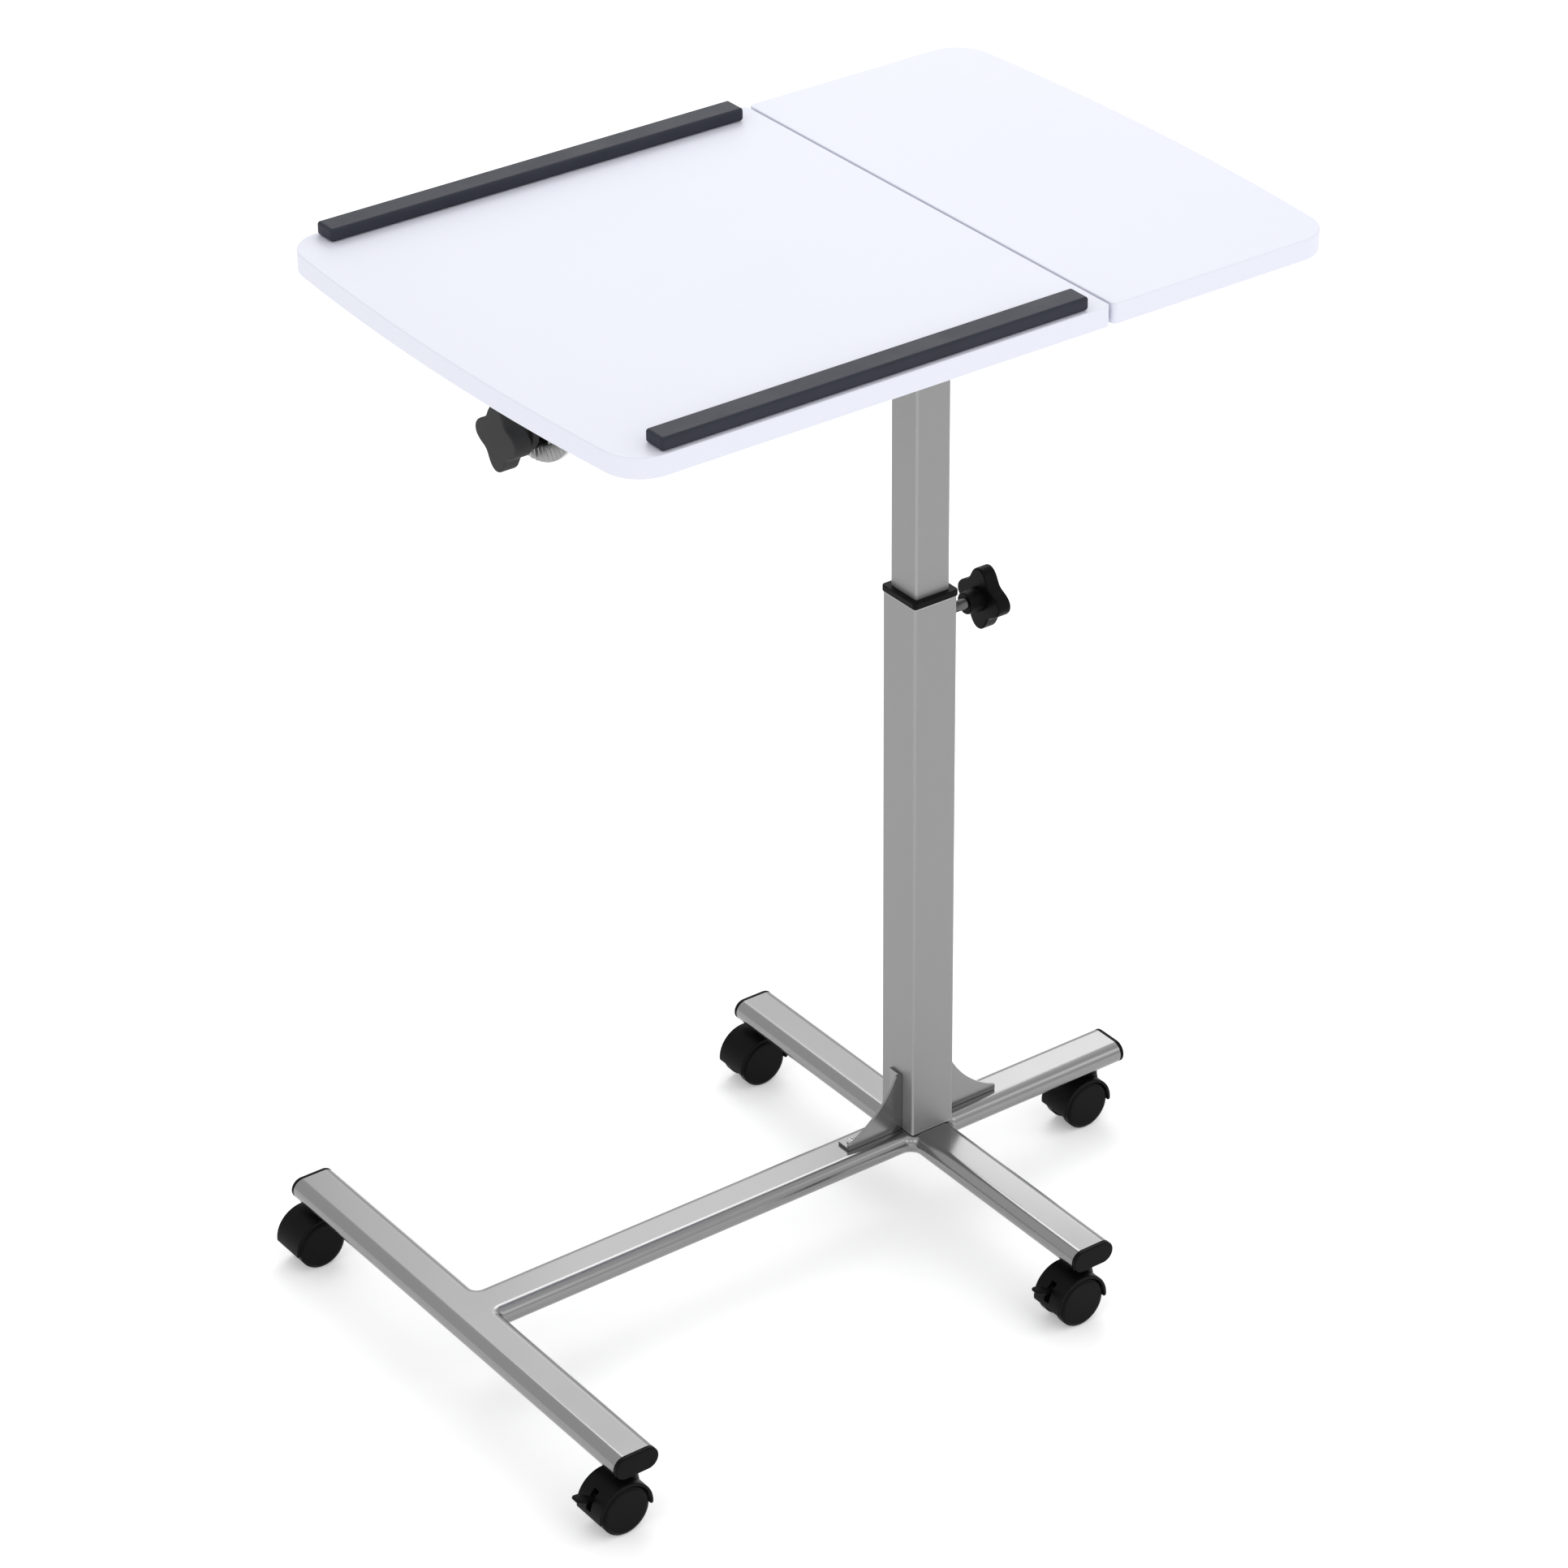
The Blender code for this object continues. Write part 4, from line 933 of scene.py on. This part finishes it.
def board_outline(low, high, seam_right):
    """Plan of a board: straight seam side, bowed outer end, rounded outer corners."""
    bulge = 10 * MM
    half = (high.y - low.y) / 2
    side = -1 if seam_right else 1
    seam = high.x if seam_right else low.x
    end = low.x if seam_right else high.x
    bow_radius = (half ** 2 + bulge ** 2) / (2 * bulge)
    bow_centre = end - side * bow_radius

    def bow(y):
        return (bow_centre + side * math.sqrt(bow_radius ** 2 - y ** 2), y)

    edge = half - BOARD_OUTER_CORNER
    points = fillet((seam, -half), (seam, 0), (end, -half), BOARD_SEAM_CORNER, 8)
    points += fillet(bow(-half), (seam, -half), bow(-edge), BOARD_OUTER_CORNER, 20)
    points += [bow(-edge * 0.9 + edge * 1.8 * step / 36) for step in range(37)]
    points += fillet(bow(half), bow(edge), (seam, half), BOARD_OUTER_CORNER, 20)
    points += fillet((seam, half), (end, half), (seam, 0), BOARD_SEAM_CORNER, 8)
    return points


def build_board(node, body, seam_right):
    low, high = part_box(node)
    thick = high.z - low.z
    piece = plate(node + "_panel", [board_outline(low, high, seam_right)], thick,
                  placed((0, 0, (low.z + high.z) / 2)), 0.8 * MM, 4)
    show(piece, WHITE, "white_laminate", body, node)


def build_cradle(node, body, lug_offsets, screws):
    """A pressed plate under a board with drilled lugs that ring the pivot tube."""
    low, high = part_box(node)
    tube_low, tube_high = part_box("pivot_tube")
    pivot_z = (tube_low.z + tube_high.z) / 2
    bore = (tube_high.z - tube_low.z) / 2 + 0.3 * MM
    thick = 2 * MM
    lug_radius = pivot_z - low.z
    centre = (low + high) / 2
    piece = plate(node + "_plate", [rounded_rectangle(high.x - low.x, high.y - low.y, 5 * MM)], thick,
                  placed((centre.x, 0, high.z - thick / 2)), 0.4 * MM, 3)
    rise = high.z - thick / 2 - pivot_z
    outline = arc((0, 0), lug_radius, 180, 360, 40) + [(lug_radius, rise), (-lug_radius, rise)]
    for offset in lug_offsets:
        lug = plate(node + "_lug", [outline, circle((0, 0), bore, 64)], 12 * MM,
                    placed((low.x + offset, 0, pivot_z), ALONG_X), 0.6 * MM, 3)
        unite(piece, lug)
    for screw in screws:
        screw_centre = centre_and_size(screw)[0]
        carve(piece, lathe("screw_hole", [(0, 9 * MM), (2.3 * MM, 9 * MM), (2.3 * MM, -9 * MM), (0, -9 * MM)],
                           placed((screw_centre.x, screw_centre.y, high.z)), 24))
    show(piece, SATIN, "satin_steel", body, node)


def build_strip(node):
    """A book strip: a soft-edged moulded bar."""
    centre, size = centre_and_size(node)
    piece = rounded_box(node + "_bar", (size.x, size.y, size.z), placed(centre), 2.2 * MM, 5)
    show(piece, SLATE, "slate_plastic", "tilting_top", node)


def build_quadrant():
    """A half-round plate with a curved slot and radial teeth on its front face."""
    low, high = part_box("tilt_quadrant")
    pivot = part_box("pivot_tube")
    pivot_z = (pivot[0].z + pivot[1].z) / 2
    outer = (high.y - low.y) / 2
    thick = high.x - low.x
    top = high.z - pivot_z
    outline = arc((0, 0), outer, 180, 360, 96) + [(outer, top), (-outer, top)]
    start = 270 - SLOT_HALF_ANGLE
    end = 270 + SLOT_HALF_ANGLE
    middle = (SLOT_OUTER + SLOT_INNER) / 2
    half = (SLOT_OUTER - SLOT_INNER) / 2
    slot = arc((0, 0), SLOT_OUTER, start, end, 60)
    for angle, first in ((end, end), (start, start + 180)):
        bend = math.radians(angle)
        centre = (middle * math.cos(bend), middle * math.sin(bend))
        slot += arc(centre, half, first, first + 180, 14)[1:-1]
        if angle == end:
            slot += arc((0, 0), SLOT_INNER, end, start, 48)
    piece = plate("tilt_quadrant_plate", [outline, slot], thick - TOOTH_DEPTH,
                  placed((high.x - (thick - TOOTH_DEPTH) / 2, 0, pivot_z), ALONG_X), 0.3 * MM, 2)
    teeth = toothed_band("tilt_quadrant_teeth", SLOT_OUTER + 0.6 * MM, outer - 0.3 * MM, TOOTH_DEPTH,
                         (low.x, 0, pivot_z))
    show(piece, BRIGHT, "bright_steel", "tilting_top", "tilt_quadrant")
    show(teeth, TOOTHED, "bright_steel", "tilting_top", angle=15)


def toothed_band(name, inner, outer, depth, place):
    """Radial teeth over the lower half circle, ridges towards -X."""
    shape = bmesh.new()
    front = []
    back = []
    for step in range(TOOTH_COUNT * 2 + 1):
        angle = math.pi + math.pi * step / (TOOTH_COUNT * 2)
        lift = 0 if step % 2 else depth * 0.8
        for row, x in ((front, lift), (back, depth * 1.4)):
            corners = [(x, radius * math.cos(angle), radius * math.sin(angle)) for radius in (inner, outer)]
            row.append([shape.verts.new(corner) for corner in corners])
    for index in range(TOOTH_COUNT * 2):
        for side_a, side_b in (((front, 0), (front, 1)), ((front, 1), (back, 1)), ((back, 1), (back, 0)),
                               ((back, 0), (front, 0))):
            first = side_a[0][index][side_a[1]]
            second = side_b[0][index][side_b[1]]
            third = side_b[0][index + 1][side_b[1]]
            fourth = side_a[0][index + 1][side_a[1]]
            shape.faces.new((first, second, third, fourth))
    for index in (0, TOOTH_COUNT * 2):
        shape.faces.new((front[index][0], front[index][1], back[index][1], back[index][0]))
    bmesh.ops.recalc_face_normals(shape, faces=shape.faces)
    bmesh.ops.translate(shape, vec=place, verts=shape.verts)
    mesh = bpy.data.meshes.new(name)
    shape.to_mesh(mesh)
    shape.free()
    return new_object(name, mesh)


# ---------------------------------------------------------------- CAD nodes that stay

def dress_frame_nodes():
    """Every node that isn't replaced gets its material, soft edges and smooth shading."""
    slots = {entry["node"]: entry["material_slot"] for entry in frame["record"]["subparts"]}
    for name, piece in frame["nodes"].items():
        if piece.hide_render:
            continue
        piece.data.materials.clear()
        piece.data.materials.append(MATERIALS[slots[name]])
        welded = piece.modifiers.new("Weld", "WELD")
        welded.merge_threshold = 0.01 * MM
        soften_edges = piece.modifiers.new("Soft edges", "BEVEL")
        soften_edges.width = 0.3 * MM
        soften_edges.segments = 2
        soften_edges.limit_method = "ANGLE"
        soften_edges.angle_limit = math.radians(40)
        soften_edges.harden_normals = True


# ---------------------------------------------------------------- studio

def direction(azimuth, elevation):
    """A unit vector; azimuth in degrees from +X towards +Y."""
    turn = math.radians(azimuth)
    rise = math.radians(elevation)
    return Vector((math.cos(rise) * math.cos(turn), math.cos(rise) * math.sin(turn), math.sin(rise)))


def add_lamp(name, place, away, size, power):
    """A soft rectangular lamp that shines against `away`."""
    data = bpy.data.lights.new(name, "AREA")
    data.shape = "RECTANGLE"
    data.size, data.size_y = size
    data.energy = power
    lamp = bpy.data.objects.new(name, data)
    lamp.location = place
    lamp.rotation_euler = away.to_track_quat("Z", "Y").to_euler()
    lamp.visible_camera = False
    bpy.context.scene.collection.objects.link(lamp)


def add_softbox(name, azimuth, elevation, distance, size, power):
    away = direction(azimuth, elevation)
    add_lamp(name, LAMP_TARGET + away * distance, away, size, power)


def build_studio():
    world = bpy.data.worlds.new("studio")
    world.use_nodes = True
    background = world.node_tree.nodes["Background"]
    background.inputs["Color"].default_value = (1, 1, 1, 1)
    background.inputs["Strength"].default_value = WORLD_STRENGTH
    bpy.context.scene.world = world

    floor_mesh = bpy.data.meshes.new("floor")
    shape = bmesh.new()
    bmesh.ops.create_grid(shape, x_segments=1, y_segments=1, size=9)
    shape.to_mesh(floor_mesh)
    shape.free()
    floor = new_object("floor", floor_mesh)
    paper = Nodes("floor_paper")
    paper.set(Base_Color=(0.9, 0.9, 0.9, 1), Roughness=0.9, Specular_IOR_Level=0.1,
              Emission_Color=(1, 1, 1, 1), Emission_Strength=FLOOR_GLOW)
    floor_mesh.materials.append(paper.material)

    for name, azimuth, elevation, power in BACK_LAMPS:
        add_softbox(name, azimuth, elevation, BACK_DISTANCE, BACK_SIZE, power)
    for name, azimuth, elevation, power in FRONT_LAMPS:
        add_softbox(name, azimuth, elevation, FRONT_DISTANCE, FRONT_SIZE, power)
    add_softbox("camera_side", -127, 25, CAMERA_LAMP_DISTANCE, FRONT_SIZE, CAMERA_LAMP)
    for name, place, power in NEAR_LAMPS:
        add_lamp(name, place, direction(53, 28), NEAR_SIZE, power)


def build_camera():
    data = bpy.data.cameras.new("camera")
    data.sensor_fit = "HORIZONTAL"
    data.sensor_width = 36
    data.lens = CAMERA_LENS
    data.shift_x, data.shift_y = CAMERA_SHIFT
    data.clip_end = 50
    camera = bpy.data.objects.new("camera", data)
    camera.location = CAMERA_PLACE
    camera.rotation_euler = (math.pi / 2 - CAMERA_ELEVATION, 0, CAMERA_AZIMUTH)
    bpy.context.scene.collection.objects.link(camera)
    bpy.context.scene.camera = camera
    bpy.context.scene.view_settings.view_transform = "Standard"


build_tube_frame()
for cap_node, cap_axis in (("left_front_end_cap", "y"), ("left_back_end_cap", "y"),
                           ("cross_front_end_cap", "y"), ("cross_back_end_cap", "y"), ("beam_end_cap", "x")):
    build_end_cap(cap_node, cap_axis)
build_gusset("left_gusset", -1)
build_gusset("right_gusset", 1)
build_screw("left_gusset_screw", "base", True)
build_screw("right_gusset_screw", "base", True)
build_outer_column()
build_collar()
for caster_name in ("left_front", "left_back", "cross_front", "cross_back", "beam_end"):
    build_caster("caster_" + caster_name)
build_column_knob()
build_tilt_clamp()
build_lift()
build_board("small_board", "lift", False)
build_board("large_board", "tilting_top", True)
for number in ("1", "2"):
    build_screw("fixed_cradle_screw_" + number, "lift", False)
    build_screw("tilt_cradle_screw_" + number, "tilting_top", False)
build_cradle("fixed_cradle", "lift", FIXED_LUGS, ["fixed_cradle_screw_1", "fixed_cradle_screw_2"])
build_cradle("tilt_cradle", "tilting_top", TILT_LUGS, ["tilt_cradle_screw_1", "tilt_cradle_screw_2"])
build_strip("front_book_strip")
build_strip("back_book_strip")
build_quadrant()
dress_frame_nodes()
build_studio()
build_camera()
